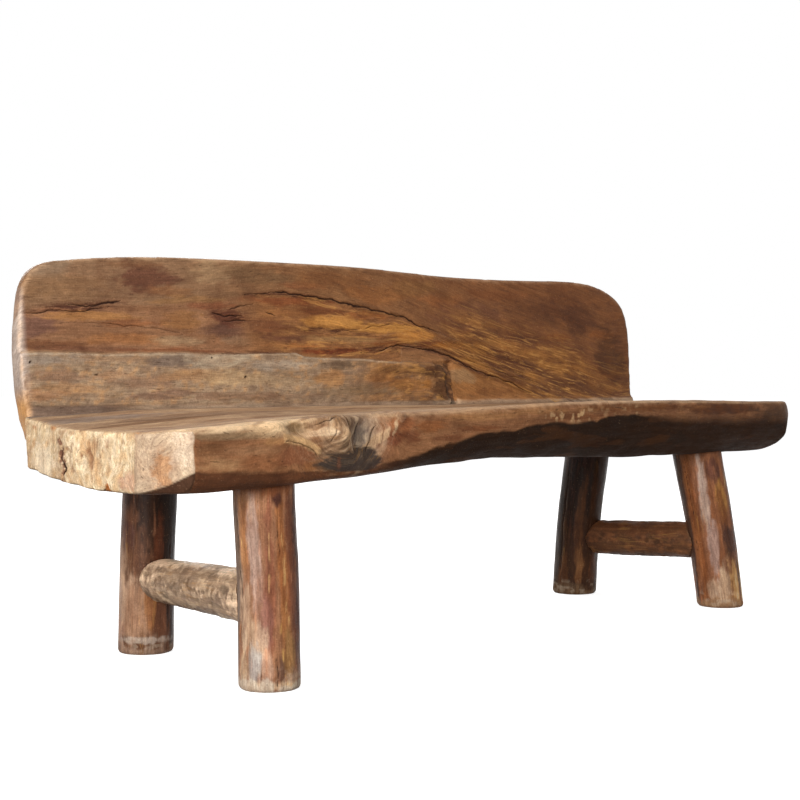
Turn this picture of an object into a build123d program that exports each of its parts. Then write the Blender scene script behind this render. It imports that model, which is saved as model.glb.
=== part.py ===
"""A rustic log bench: two hewn slabs, four round log legs and two cross rails.

Millimetres, +Z up. X runs along the seat, the sitter faces -Y, and the origin is on the
floor under the middle of the bench. The seat is half a log: its front edge keeps the
log's own curve, so it is a plain face at the left end and a deep undercut at the right.
The back is a thinner slab, lapped against the seat's rear edge and pegged to it.
"""

import os
from collections import namedtuple
from math import cos, radians, sin, tan

from build123d import *

os.makedirs("parts", exist_ok=True)

# ---------------------------------------------------------------- driving dimensions
# Seat slab
SEAT_LENGTH = 1786.0  # between the outermost points of the two ends
SEAT_HEIGHT = 450.0  # floor to the sitting surface
SEAT_THICKNESS = 105.0  # sitting surface to the flat of the underside
SEAT_FRONT_Y = -305.0  # front face at the left end
SEAT_BED_Y = 191.0  # rear edge, at the middle of the bench
LIP_RADIUS = 12.0  # worn round along the front top edge
SEAT_END_RADIUS = 95.0  # plan corner at the right end

# Back slab
BACK_LENGTH = 1666.0
BACK_CENTRE = 36.0  # its middle lies this far right of the bench's middle
BACK_RISE = 296.0  # highest point above the sitting surface, along the slab
BACK_THICKNESS = 43.0  # through the lower, thicker band
BACK_STEP = 9.0  # the upper part is hewn this much thinner
BACK_LEDGE = 7.0  # the thick band's rise above the seat, right of the knot
BACK_LAP = 57.0  # reach below the sitting surface, behind the seat
BACK_LEAN = 7.0  # degrees from upright
BACK_SKEW = -4.6  # degrees in plan: the seat is narrower at the right
BACK_TAPER_HEIGHT = 62.0  # the lower rear edge is hewn away over this height
BACK_TAPER_DEPTH = 12.0
BACK_ROUNDING = 11.0  # rear arris
BACK_ARRIS = 7.0  # front arris

# Pegs through the lap
PEG_DIAMETER = 22.0
PEG_GRIP = 75.0  # length inside the seat
PEG_DROP = 33.0  # axis below the sitting surface
PEG_PROUD = 2.0  # head stands out of the back's rear face
PEG_COUNT = 6
PEG_SPACING = 280.0
PEG_CENTRE = -10.0

# Legs
LEG_DIAMETER = 101.0
LEG_HOUSING = 14.0  # shoulder's seat, let into the underside
LEG_TENON_DIAMETER = 60.0
LEG_TENON_LENGTH = 45.0

# Cross rails between a front and a rear leg
RAIL_TENON_DIAMETER = 42.0
RAIL_TENON_PAST_AXIS = 14.0  # the tenon goes this far beyond the leg's middle

# Fox wedges, driven into a slot in a tenon's end as it is knocked home
LEG_WEDGE_THICKNESS = 9.0
LEG_WEDGE_LENGTH = 32.0
LEG_WEDGE_WIDTH = 50.0
RAIL_WEDGE_THICKNESS = 7.0
RAIL_WEDGE_LENGTH = 34.0
RAIL_WEDGE_WIDTH = 34.0
WEDGE_TIP = 1.5  # blunt tip of every wedge

# Fits
FIT = 0.15  # radial, tenons and pegs in their holes
SCRIBE = 0.3  # shoulders scribed to a log's round
END_GAP = 2.0  # below a tenon in its blind hole

# ---------------------------------------------------------------- seat outline
# Cuts through the seat, from left to right. "along" is a share of half the length; the
# rest are millimetres: rises from the sitting surface (lip, dish, rear) or from the
# underside (base, heel), the lip's reach forward of SEAT_FRONT_Y, the height of the plain
# face under the lip, and how far the undercut goes back below it. The base is where the
# underside starts behind the undercut and the heel is where it meets the rear edge.
Cut = namedtuple("Cut", "along lip dish rear reach face undercut base heel")
SEAT_CUTS = [
    Cut(-1.03, -27, -31, -15, 0, 60, 16, -13, 26),
    Cut(-0.94, -21, -28, -12, 0, 66, 20, -16, 18),
    Cut(-0.81, -16, -21, -8, 0, 78, 22, -15, 0),
    Cut(-0.66, -9, -13, -2, 0, 86, 24, -9, 0),
    Cut(-0.47, -5, -9, 0, 1, 78, 32, -3, 6),
    Cut(-0.28, 0, -7, 0, 3, 48, 44, 6, 14),
    Cut(0.00, 7, -5, -1, 8, 36, 60, 8, 12),
    Cut(0.30, 10, -4, -2, 14, 33, 68, -1, 7),
    Cut(0.60, 6, -5, -1, 17, 32, 70, -6, 2),
    Cut(0.88, 2, -7, 0, 18, 34, 72, -4, 4),
    Cut(1.04, -1, -8, 0, 18, 36, 74, -2, 6),
]
BELLY = 4.0  # the underside's middle hangs this much lower than its base
UNDERCUT_ROUND = (0.34, 0.58)  # its curve passes here: shares of its depth and its fall
SEAT_OVERCUT = 45.0  # the rough slab runs past the bed before that is hewn flat

# Left end in plan: share of half the length, and distance behind SEAT_FRONT_Y
LEFT_END = [(-0.892, 584), (-0.899, 524), (-0.938, 402), (-0.971, 232), (-1.0, 92)]
LEFT_FACET = (-0.952, -8)  # hewn corner between the end and the front face

# Right end: how far it stands in from the outermost point, at rises from the sitting
# surface. Its edges are worn round above and it curves in like a bow below.
RIGHT_END_SET_BACK = 44.0  # its rear corner stands this much further in
RIGHT_END_SWEEP = -0.12  # its line at the rear corner, X per unit of Y
RIGHT_END_HULL = [(14, 24), (-7, 4), (-24, 0), (-49, 1), (-80, 11), (-99, 34), (-118, 68)]

# Scoops beside the knot in the front edge: centre along X (share of half the length),
# centre in front of SEAT_FRONT_Y, centre below the sitting surface, and half sizes
Scoop = namedtuple("Scoop", "along forward drop half_x radius")
KNOT_SCOOPS = [Scoop(-0.538, 26, 36, 66, 55), Scoop(-0.700, 12, 20, 48, 32)]

# ---------------------------------------------------------------- back outline
# Points round the back, clockwise from its lower left corner: share of half the length,
# and share of the rise above the seat (the two lower corners lie on the lap's edge)
BACK_OUTLINE = [
    (-0.994, 0.0), (-1.0, 0.25), (-0.996, 0.46), (-0.989, 0.62), (-0.978, 0.76),
    (-0.952, 0.868), (-0.875, 0.935), (-0.740, 0.972), (-0.510, 0.995), (-0.260, 1.0),
    (0.000, 0.994), (0.230, 0.966), (0.520, 0.960), (0.740, 0.974), (0.865, 0.948),
    (0.938, 0.878), (0.980, 0.785), (0.997, 0.660), (1.0, 0.500), (0.996, 0.300),
    (0.984, 0.0),
]
BACK_FOOT = (-0.984, 0.970)  # the same shares at the lap's lower edge

# Upper edge of the thick band, from the left end to the knot where it stops: shares of
# half the length, and heights above the seat in millimetres
STEP_LINE = [(-0.245, 106), (-0.215, 98), (-0.030, 96), (0.165, 86), (0.225, 88)]
STEP_LEFT_HEIGHT = 101.0
STEP_KNOT = [(0.225, 88), (0.262, 70), (0.268, 40)]

# ---------------------------------------------------------------- legs and rails
# The seat's end that the leg stands at, the edge it stands along, its foot on the floor
# and its top under the seat, both as distances in from that end and that edge, the
# diameter's change on the way up, and the bow
LEFT, RIGHT = -1, 1
Leg = namedtuple("Leg", "end edge foot top flare bow")
LEGS = {
    "leg_front_left": Leg(LEFT, "front", (242, 60), (243, 77), 1, (3, 0)),
    "leg_front_right": Leg(RIGHT, "front", (232, 53), (245, 110), 6, (4, -2)),
    "leg_rear_left": Leg(LEFT, "rear", (309, 57), (312, 70), 0, (-1, 0)),
    "leg_rear_right": Leg(RIGHT, "rear", (288, 29), (291, 70), 0, (-3, 2)),
}
# Shares of the log's length, from just under the floor, and of its bow there
LEG_STATIONS = [(-0.06, 0.0), (0.0, 0.0), (0.33, 1.0), (0.68, 0.7), (1.0, 0.0)]

# Legs joined, height of the axis at the rear and at the front leg, diameters there
Rail = namedtuple("Rail", "rear front rear_height front_height rear_size front_size")
RAILS = {
    "stretcher_left": Rail("leg_rear_left", "leg_front_left", 136, 143, 73, 90),
    "stretcher_right": Rail("leg_rear_right", "leg_front_right", 133, 142, 74, 79),
}
# Shares of the rail's length, and how much it swells there
RAIL_STATIONS = [(0.0, 0.0), (0.35, 3.0), (0.7, 1.5), (1.0, 0.0)]


# ---------------------------------------------------------------- places
def seat_x(along):
    """X of a share of the seat's half length."""
    return along * SEAT_LENGTH / 2


def back_u(along):
    """Distance along the back's plane of a share of its half length."""
    return BACK_CENTRE + along * BACK_LENGTH / 2


def underside(x):
    """Height of the seat's underside at x, between the cuts on either side."""
    flat = SEAT_HEIGHT - SEAT_THICKNESS
    for near, far in zip(SEAT_CUTS, SEAT_CUTS[1:]):
        if seat_x(near.along) <= x <= seat_x(far.along):
            share = (x - seat_x(near.along)) / (seat_x(far.along) - seat_x(near.along))
            return flat + near.base + share * (far.base - near.base)
    raise ValueError("x lies outside the seat")


# The plane on which the back beds against the seat: its x runs along the bench, its y up
# the back, its normal points forward.
skew = radians(BACK_SKEW)
lean = radians(BACK_LEAN)
bed_plane = Plane(
    origin=(0, SEAT_BED_Y, SEAT_HEIGHT),
    x_dir=(cos(skew), sin(skew), 0),
    z_dir=(sin(skew) * cos(lean), -cos(skew) * cos(lean), sin(lean)),
)


def bed_y(x):
    """Y of the bed at the sitting surface."""
    return SEAT_BED_Y + x * tan(skew)


def under_seat(leg, inset):
    """X and Y of a point at two distances in from the leg's end and edge of the seat."""
    x = leg.end * (SEAT_LENGTH / 2 - inset[0])
    if leg.edge == "front":
        return x, SEAT_FRONT_Y + inset[1]
    return x, bed_y(x) - inset[1]


def leg_foot(leg):
    """Middle of the leg's foot."""
    return Vector(*under_seat(leg, leg.foot), 0)


def leg_shoulder(leg):
    """Middle of the leg's shoulder, let into the underside."""
    x, y = under_seat(leg, leg.top)
    return Vector(x, y, underside(x) + LEG_HOUSING)


def leg_plane(leg):
    """Plane across the leg at its foot; its normal is the leg's axis."""
    foot = leg_foot(leg)
    return Plane(origin=foot, x_dir=(1, 0, 0), z_dir=leg_shoulder(leg) - foot)


def leg_length(leg):
    """Length of the leg's axis from the floor to the shoulder."""
    return (leg_shoulder(leg) - leg_foot(leg)).length


def axis_point(leg, height):
    """Point on the leg's axis at a height above the floor."""
    plane = leg_plane(leg)
    return plane.origin + plane.z_dir * (height / plane.z_dir.Z)


def rail_plane(rail):
    """Plane across the rail where it meets the rear leg's axis; its normal runs forward."""
    rear = axis_point(LEGS[rail.rear], rail.rear_height)
    front = axis_point(LEGS[rail.front], rail.front_height)
    return Plane(origin=rear, x_dir=(1, 0, 0), z_dir=front - rear)


def rail_length(rail):
    """Distance between the two legs' axes along the rail."""
    rear = axis_point(LEGS[rail.rear], rail.rear_height)
    front = axis_point(LEGS[rail.front], rail.front_height)
    return (front - rear).length


def wedge_plane(tip, outward, spread):
    """Plane of a wedge's profile: x spreads the tenon, y points out of its end."""
    return Plane(origin=tip, x_dir=spread, z_dir=spread.cross(outward))


def leg_wedge_plane(leg):
    """Plane of the wedge in a leg's tenon; it spreads the tenon along the seat's grain."""
    plane = leg_plane(leg)
    tip = plane.origin + plane.z_dir * (leg_length(leg) + LEG_TENON_LENGTH)
    return wedge_plane(tip, plane.z_dir, plane.x_dir)


def rail_wedge_planes(rail):
    """Planes of the two wedges in a rail; they spread its tenons along the leg's grain."""
    plane = rail_plane(rail)
    reach = rail_length(rail) + RAIL_TENON_PAST_AXIS
    rear_tip = plane.origin - plane.z_dir * RAIL_TENON_PAST_AXIS
    front_tip = plane.origin + plane.z_dir * reach
    return [
        wedge_plane(rear_tip, -plane.z_dir, plane.y_dir),
        wedge_plane(front_tip, plane.z_dir, plane.y_dir),
    ]


def wedge_outline(thickness, length):
    """Corners of a wedge's profile, thick end first."""
    butt = thickness / 2
    tip = WEDGE_TIP / 2
    return [(-butt, 0), (butt, 0), (tip, -length), (-tip, -length)]


# The pegs lie level. Their plane stands upright on the same line as the bed; its normal
# points forward.
peg_plane = Plane(origin=bed_plane.origin, x_dir=bed_plane.x_dir, z_dir=(sin(skew), -cos(skew), 0))


def peg_places():
    """Peg axes on their plane."""
    first = PEG_CENTRE - PEG_SPACING * (PEG_COUNT - 1) / 2
    return [(first + PEG_SPACING * index, -PEG_DROP) for index in range(PEG_COUNT)]


# ---------------------------------------------------------------- log blanks
def leg_blank(leg, grow):
    """A leg's log up to its shoulder, with its radius grown for scribing against it."""
    plane = leg_plane(leg)
    length = leg_length(leg)
    with BuildPart() as blank:
        for share, bowed in LEG_STATIONS:
            with BuildSketch(plane.offset(share * length)):
                with Locations((leg.bow[0] * bowed, leg.bow[1] * bowed)):
                    Circle((LEG_DIAMETER + leg.flare * share) / 2 + grow)
        loft()
        split(bisect_by=Plane.XY, keep=Keep.TOP)
    return blank.part


leg_logs = {name: leg_blank(leg, 0) for name, leg in LEGS.items()}
scribed_logs = {name: leg_blank(leg, SCRIBE) for name, leg in LEGS.items()}

# ---------------------------------------------------------------- waste at the right end
# What is hewn off the right end: a block less the hull-shaped end that stays
end_x = SEAT_LENGTH / 2
right_face_y = SEAT_FRONT_Y - SEAT_CUTS[-2].reach
hull_start_x = end_x - 4 * SEAT_END_RADIUS
behind_y = SEAT_BED_Y + SEAT_OVERCUT
in_front_y = 2 * SEAT_FRONT_Y
with BuildPart() as right_waste:
    with BuildSketch(Plane.XY):
        with BuildLine():
            Polyline(
                (hull_start_x, in_front_y),
                (SEAT_LENGTH, in_front_y),
                (SEAT_LENGTH, behind_y),
                (hull_start_x, behind_y),
                close=True,
            )
        make_face()
    extrude(amount=2 * SEAT_HEIGHT)
    for rise, inset in RIGHT_END_HULL:
        corner_x = end_x - SEAT_END_RADIUS
        corner_y = right_face_y + SEAT_END_RADIUS
        radius = SEAT_END_RADIUS - inset
        rear_x = end_x - RIGHT_END_SET_BACK - inset
        with BuildSketch(Plane.XY.offset(SEAT_HEIGHT + rise)):
            with BuildLine():
                Line((hull_start_x, in_front_y), (corner_x, corner_y - radius))
                CenterArc((corner_x, corner_y), radius, -90, 90)
                Spline(
                    (corner_x + radius, corner_y),
                    (rear_x, behind_y),
                    tangents=[(0, 1), (RIGHT_END_SWEEP, 1)],
                )
                Polyline(
                    (rear_x, behind_y),
                    (hull_start_x, behind_y),
                    (hull_start_x, in_front_y),
                )
            make_face()
    loft(mode=Mode.SUBTRACT)

# ---------------------------------------------------------------- seat slab
with BuildPart() as seat_slab:
    for cut in SEAT_CUTS:
        x = seat_x(cut.along)
        face_y = SEAT_FRONT_Y - cut.reach
        lip_z = SEAT_HEIGHT + cut.lip
        rear_y = bed_y(x) + SEAT_OVERCUT
        middle_y = (face_y + rear_y) / 2
        face_foot = (face_y, lip_z - LIP_RADIUS - cut.face)
        flat_z = SEAT_HEIGHT - SEAT_THICKNESS + cut.base
        flat_start = (face_y + cut.undercut, flat_z)
        rear_top = (rear_y, SEAT_HEIGHT + cut.rear)
        rear_foot = (rear_y, SEAT_HEIGHT - SEAT_THICKNESS + cut.heel)
        lip_back = (face_y + LIP_RADIUS, lip_z)
        lip_front = (face_y, lip_z - LIP_RADIUS)
        lip_inset = LIP_RADIUS * (1 - cos(radians(45)))
        depth_share, fall_share = UNDERCUT_ROUND
        undercut_fall = face_foot[1] - flat_z
        undercut_middle = (
            face_y + depth_share * cut.undercut,
            face_foot[1] - fall_share * undercut_fall,
        )
        with BuildSketch(Plane.YZ.offset(x)):
            with BuildLine():
                Spline(rear_top, (middle_y, SEAT_HEIGHT + cut.dish), lip_back)
                ThreePointArc(lip_back, (face_y + lip_inset, lip_z - lip_inset), lip_front)
                Line(lip_front, face_foot)
                Spline(face_foot, undercut_middle, flat_start)
                Spline(flat_start, (middle_y, flat_z - BELLY), rear_foot)
                Line(rear_foot, rear_top)
            make_face()
    loft()

    # The bed for the back, hewn flat along the rear edge
    split(bisect_by=bed_plane, keep=Keep.TOP)

    # Left end: a slightly bowed saw cut with the front corner hewn off
    outside_x = -SEAT_LENGTH
    end_points = [(seat_x(along), SEAT_FRONT_Y + behind) for along, behind in LEFT_END]
    facet_end = (seat_x(LEFT_FACET[0]), SEAT_FRONT_Y + LEFT_FACET[1])
    with BuildSketch(Plane.XY):
        with BuildLine():
            Spline(*end_points)
            Line(end_points[-1], facet_end)
            Polyline(
                facet_end,
                (facet_end[0], 2 * SEAT_FRONT_Y),
                (outside_x, 2 * SEAT_FRONT_Y),
                (outside_x, end_points[0][1]),
                end_points[0],
            )
        make_face()
    extrude(amount=2 * SEAT_HEIGHT, mode=Mode.SUBTRACT)

    # Right end
    add(right_waste.part, mode=Mode.SUBTRACT)

    # Scoops on either side of the knot in the front edge
    for scoop in KNOT_SCOOPS:
        centre = (
            seat_x(scoop.along),
            SEAT_FRONT_Y - scoop.forward,
            SEAT_HEIGHT - scoop.drop,
        )
        with BuildSketch(Plane(origin=centre, x_dir=(1, 0, 0), z_dir=(0, -1, 0))):
            with BuildLine():
                EllipticalCenterArc((0, 0), scoop.half_x, scoop.radius, arc_size=180)
                Line((-scoop.half_x, 0), (scoop.half_x, 0))
            make_face()
        revolve(axis=Axis(centre, (1, 0, 0)), mode=Mode.SUBTRACT)

    # Housings and blind mortises for the legs
    for name, leg in LEGS.items():
        add(scribed_logs[name], mode=Mode.SUBTRACT)
        with BuildSketch(leg_plane(leg).offset(leg_length(leg))):
            Circle(LEG_TENON_DIAMETER / 2 + FIT)
        extrude(amount=LEG_TENON_LENGTH + END_GAP, mode=Mode.SUBTRACT)

    # Blind holes for the pegs
    with BuildSketch(peg_plane.offset(-PEG_DIAMETER)):
        with Locations(*peg_places()):
            Circle(PEG_DIAMETER / 2 + FIT)
    extrude(amount=PEG_DIAMETER + PEG_GRIP + END_GAP, mode=Mode.SUBTRACT)

# ---------------------------------------------------------------- back slab
back_outline = [(back_u(along), BACK_RISE * rise) for along, rise in BACK_OUTLINE]
foot_left = (back_u(BACK_FOOT[0]), -BACK_LAP)
foot_right = (back_u(BACK_FOOT[1]), -BACK_LAP)
band_start = (back_u(-1) - BACK_THICKNESS, STEP_LEFT_HEIGHT)
band_top = [(back_u(along), height) for along, height in STEP_LINE]
band_end = [(back_u(along), height) for along, height in STEP_KNOT]
beyond = back_u(1) + BACK_THICKNESS
with BuildPart() as back_slab:
    with BuildSketch(bed_plane.offset(-BACK_STEP)):
        with BuildLine():
            Spline(foot_left, *back_outline, foot_right)
            Line(foot_right, foot_left)
        make_face()
    extrude(amount=BACK_STEP - BACK_THICKNESS)

    # Arrises worn round
    across_back = Axis(bed_plane.origin, bed_plane.z_dir)
    rear_face = back_slab.faces().sort_by(across_back)[0]
    fillet(rear_face.edges().filter_by(GeomType.BSPLINE), BACK_ROUNDING)
    front_face = back_slab.faces().sort_by(across_back)[-1]
    fillet(front_face.edges().filter_by(GeomType.BSPLINE), BACK_ARRIS)

    # The lower band is left thicker; along its top it ends at a knot, and from there on
    # only a narrow ledge shows above the seat
    with BuildSketch(bed_plane):
        with BuildLine():
            Spline(foot_left, *back_outline, foot_right)
            Line(foot_right, foot_left)
        make_face()
        with BuildLine():
            Polyline(band_start, *band_top)
            Spline(*band_end)
            Polyline(
                band_end[-1],
                (band_end[-1][0], BACK_LEDGE),
                (beyond, BACK_LEDGE),
                (beyond, -2 * BACK_LAP),
                (band_start[0], -2 * BACK_LAP),
                band_start,
            )
        make_face(mode=Mode.INTERSECT)
    extrude(amount=-2 * BACK_STEP)

    # Lower rear edge hewn to a taper
    taper_plane = Plane(
        origin=bed_plane.origin - bed_plane.x_dir * BACK_LENGTH,
        x_dir=bed_plane.z_dir,
        z_dir=-bed_plane.x_dir,
    )
    with BuildSketch(taper_plane):
        with BuildLine():
            Polyline(
                (-BACK_THICKNESS, BACK_TAPER_HEIGHT - BACK_LAP),
                (-BACK_THICKNESS + BACK_TAPER_DEPTH, -BACK_LAP),
                (-BACK_THICKNESS + BACK_TAPER_DEPTH, -2 * BACK_LAP),
                (-2 * BACK_THICKNESS, -2 * BACK_LAP),
                (-2 * BACK_THICKNESS, BACK_TAPER_HEIGHT - BACK_LAP),
                close=True,
            )
        make_face()
    extrude(amount=-2 * BACK_LENGTH, mode=Mode.SUBTRACT)

    # Holes for the pegs
    with BuildSketch(peg_plane.offset(PEG_DIAMETER)):
        with Locations(*peg_places()):
            Circle(PEG_DIAMETER / 2 + FIT)
    extrude(amount=-3 * BACK_THICKNESS, mode=Mode.SUBTRACT)

# ---------------------------------------------------------------- pegs
# The lean sets the slab forward of upright where the pegs come through it, and the taper
# has thinned it there
taper_slope = BACK_TAPER_DEPTH / BACK_TAPER_HEIGHT
thinned = taper_slope * max(0, PEG_DROP - BACK_LAP + BACK_TAPER_HEIGHT)
peg_head = (BACK_THICKNESS - thinned) / cos(lean) - PEG_DROP * tan(lean)
with BuildPart() as back_pegs:
    with BuildSketch(peg_plane.offset(PEG_GRIP)):
        with Locations(*peg_places()):
            Circle(PEG_DIAMETER / 2)
    extrude(amount=-(PEG_GRIP + peg_head + PEG_PROUD))

# ---------------------------------------------------------------- legs
leg_parts = {}
for name, leg in LEGS.items():
    plane = leg_plane(leg)
    length = leg_length(leg)
    with BuildPart() as leg_part:
        add(leg_logs[name])

        # Round tenon above the shoulder, slotted for its wedge
        with BuildSketch(plane.offset(length)):
            Circle(LEG_TENON_DIAMETER / 2)
        extrude(amount=LEG_TENON_LENGTH)
        with BuildSketch(leg_wedge_plane(leg)):
            with BuildLine():
                Polyline(*wedge_outline(LEG_WEDGE_THICKNESS, LEG_WEDGE_LENGTH), close=True)
            make_face()
        extrude(amount=LEG_TENON_DIAMETER, both=True, mode=Mode.SUBTRACT)

        # Blind mortise for the rail
        for rail in RAILS.values():
            across = rail_plane(rail)
            past = RAIL_TENON_PAST_AXIS + END_GAP
            if rail.rear == name:
                with BuildSketch(across.offset(-past)):
                    Circle(RAIL_TENON_DIAMETER / 2 + FIT)
                extrude(amount=past + LEG_DIAMETER, mode=Mode.SUBTRACT)
            if rail.front == name:
                with BuildSketch(across.offset(rail_length(rail) + past)):
                    Circle(RAIL_TENON_DIAMETER / 2 + FIT)
                extrude(amount=-(past + LEG_DIAMETER), mode=Mode.SUBTRACT)
    leg_parts[name] = leg_part

# ---------------------------------------------------------------- cross rails
rail_parts = {}
for name, rail in RAILS.items():
    plane = rail_plane(rail)
    length = rail_length(rail)
    with BuildPart() as rail_part:
        for share, swell in RAIL_STATIONS:
            size = rail.rear_size + (rail.front_size - rail.rear_size) * share + swell
            with BuildSketch(plane.offset(share * length)):
                Circle(size / 2)
        loft()

        # Shoulders scribed to the logs' round
        add(scribed_logs[rail.rear], mode=Mode.SUBTRACT)
        add(scribed_logs[rail.front], mode=Mode.SUBTRACT)

        # Tenon at either end, slotted for its wedge
        for tip, inward in (
            (-RAIL_TENON_PAST_AXIS, 1),
            (length + RAIL_TENON_PAST_AXIS, -1),
        ):
            with BuildSketch(plane.offset(tip)):
                Circle(RAIL_TENON_DIAMETER / 2)
            extrude(amount=inward * (RAIL_TENON_PAST_AXIS + LEG_DIAMETER))
        for profile in rail_wedge_planes(rail):
            with BuildSketch(profile):
                with BuildLine():
                    Polyline(
                        *wedge_outline(RAIL_WEDGE_THICKNESS, RAIL_WEDGE_LENGTH), close=True
                    )
                make_face()
            extrude(amount=RAIL_TENON_DIAMETER, both=True, mode=Mode.SUBTRACT)
    rail_parts[name] = rail_part

# ---------------------------------------------------------------- wedges
with BuildPart() as leg_wedges:
    for leg in LEGS.values():
        with BuildSketch(leg_wedge_plane(leg)):
            with BuildLine():
                Polyline(*wedge_outline(LEG_WEDGE_THICKNESS, LEG_WEDGE_LENGTH), close=True)
            make_face()
        extrude(amount=LEG_WEDGE_WIDTH / 2, both=True)

with BuildPart() as stretcher_wedges:
    for rail in RAILS.values():
        for profile in rail_wedge_planes(rail):
            with BuildSketch(profile):
                with BuildLine():
                    Polyline(
                        *wedge_outline(RAIL_WEDGE_THICKNESS, RAIL_WEDGE_LENGTH), close=True
                    )
                make_face()
            extrude(amount=RAIL_WEDGE_WIDTH / 2, both=True)

# ---------------------------------------------------------------- export
seat_slab.part.label = "seat_slab"
export_step(seat_slab.part, "parts/seat_slab.step")

back_slab.part.label = "back_slab"
export_step(back_slab.part, "parts/back_slab.step")

back_pegs.part.label = "back_pegs"
export_step(back_pegs.part, "parts/back_pegs.step")

leg_wedges.part.label = "leg_wedges"
export_step(leg_wedges.part, "parts/leg_wedges.step")

stretcher_wedges.part.label = "stretcher_wedges"
export_step(stretcher_wedges.part, "parts/stretcher_wedges.step")

for name, log in {**leg_parts, **rail_parts}.items():
    log.part.label = name
    export_step(log.part, f"parts/{name}.step")
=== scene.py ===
"""Looks of the rustic log bench: hewn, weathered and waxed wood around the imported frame.

Blender works in metres. The mesh code below works in millimetres in the same frame, and
converts only when it reads or writes vertices.
"""

import math

import bmesh
import bpy
import numpy as np
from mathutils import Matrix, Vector


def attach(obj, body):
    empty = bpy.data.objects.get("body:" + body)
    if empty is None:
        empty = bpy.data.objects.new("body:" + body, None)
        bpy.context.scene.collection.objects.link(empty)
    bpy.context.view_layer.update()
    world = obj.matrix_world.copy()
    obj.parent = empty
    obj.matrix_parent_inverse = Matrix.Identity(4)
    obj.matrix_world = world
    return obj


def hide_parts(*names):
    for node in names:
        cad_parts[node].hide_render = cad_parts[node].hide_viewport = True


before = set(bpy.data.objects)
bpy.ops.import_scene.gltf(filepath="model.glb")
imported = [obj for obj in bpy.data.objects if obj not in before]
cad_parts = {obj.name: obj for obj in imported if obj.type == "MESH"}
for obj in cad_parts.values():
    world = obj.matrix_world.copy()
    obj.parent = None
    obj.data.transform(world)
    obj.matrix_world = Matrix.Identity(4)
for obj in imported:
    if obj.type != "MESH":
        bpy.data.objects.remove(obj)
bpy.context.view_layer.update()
scene = bpy.context.scene


# ---------------------------------------------------------------- numbers and noise
def rgb(red, green, blue):
    """Linear colour of an sRGB one given as 0 to 255."""
    share = np.array([red, green, blue]) / 255
    return np.where(share <= 0.04045, share / 12.92, ((share + 0.055) / 1.055) ** 2.4)


def columns(*values):
    """Values as the columns of one array, a row for each vertex."""
    return np.stack(values, axis=1)


def step(low, high, value):
    """Smooth step from 0 at low to 1 at high."""
    share = np.clip((value - low) / (high - low), 0, 1)
    return share * share * (3 - 2 * share)


def band(value, low, high, soft):
    """1 between low and high, with soft edges."""
    return step(low - soft, low + soft, value) * (1 - step(high - soft, high + soft, value))


def bell(value, half):
    """1 at zero, falling off softly on both sides."""
    return np.exp(-((value / half) ** 2))


def blob(a, b, centre, radii):
    """Round soft patch, 1 at its centre."""
    return np.exp(-(((a - centre[0]) / radii[0]) ** 2) - ((b - centre[1]) / radii[1]) ** 2)


def lattice(cell, seed):
    """Fixed random numbers from -1 to 1 for whole-number cells."""
    h = cell[:, 0] * 73856093 ^ cell[:, 1] * 19349663 ^ cell[:, 2] * 83492791 ^ (seed * 2654435)
    h = h.astype(np.uint64)
    h = (h ^ (h >> np.uint64(15))) * np.uint64(2246822519)
    h = (h ^ (h >> np.uint64(13))) * np.uint64(3266489917)
    h = h ^ (h >> np.uint64(16))
    return (h & np.uint64(0xFFFF)).astype(float) / 32767.5 - 1


EVEN = 1e4  # a lump so wide that noise doesn't change along that axis


def noise(points, size, seed):
    """Smooth noise from -1 to 1; size is the width of a lump, or its width along each axis."""
    q = points / np.asarray(size, float)
    low = np.floor(q)
    share = q - low
    share = share * share * (3 - 2 * share)
    low = low.astype(np.int64) + 4096
    total = np.zeros(len(points))
    for corner in range(8):
        offset = np.array([corner & 1, corner >> 1 & 1, corner >> 2 & 1])
        weight = np.prod(np.where(offset == 1, share, 1 - share), axis=1)
        total += weight * lattice(low + offset, seed)
    return total


def layers(points, seed, *parts):
    """Sum of noises, each given by its gain and size, with seeds that follow on."""
    return sum(gain * noise(points, size, seed + index) for index, (gain, size) in enumerate(parts))


def fbm(points, size, seed, octaves=4):
    """Noise at several sizes, each half the one before."""
    size = np.asarray(size, float) * np.ones(3)
    total, gain = np.zeros(len(points)), 1.0
    for octave in range(octaves):
        total += gain * noise(points, size / 2**octave, seed + 17 * octave)
        gain *= 0.5
    return total / 1.6


def polyline_distance(a, b, points):
    """Distance of each (a, b) from a line through points, and its place along it, 0 to 1."""
    points = np.array(points, float)
    spans = np.diff(points, axis=0)
    lengths = np.hypot(*spans.T)
    starts = np.concatenate([[0], np.cumsum(lengths)])
    best = np.full(len(a), np.inf)
    along = np.zeros(len(a))
    for (x, y), (dx, dy), length, start in zip(points, spans, lengths, starts):
        t = np.clip(((a - x) * dx + (b - y) * dy) / length**2, 0, 1)
        distance = np.hypot(a - x - t * dx, b - y - t * dy)
        nearer = distance < best
        best = np.where(nearer, distance, best)
        along = np.where(nearer, (start + t * length) / starts[-1], along)
    return best, along


def stripe(a, b, line, half):
    """Soft stripe along a line, 1 at its middle."""
    return bell(polyline_distance(a, b, line)[0], half)


def groove(a, b, points, half_width, seed, wander=3.0):
    """Profile of a crack along a line, 1 at its middle, thinning out at both ends."""
    plane = columns(a, b, np.zeros(len(a)))
    a = a + wander * noise(plane, 28, seed)
    b = b + wander * noise(plane, 22, seed + 1) + 0.35 * wander * noise(plane, 7, seed + 2)
    distance, along = polyline_distance(a, b, points)
    ends = np.clip(np.sin(math.pi * np.clip(along, 0.01, 0.99)), 0, 1) ** 0.5
    width = half_width * ends * (1 + 0.5 * noise(plane, 35, seed + 3))
    return np.clip(1 - distance / np.maximum(width, 0.05), 0, 1)


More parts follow.
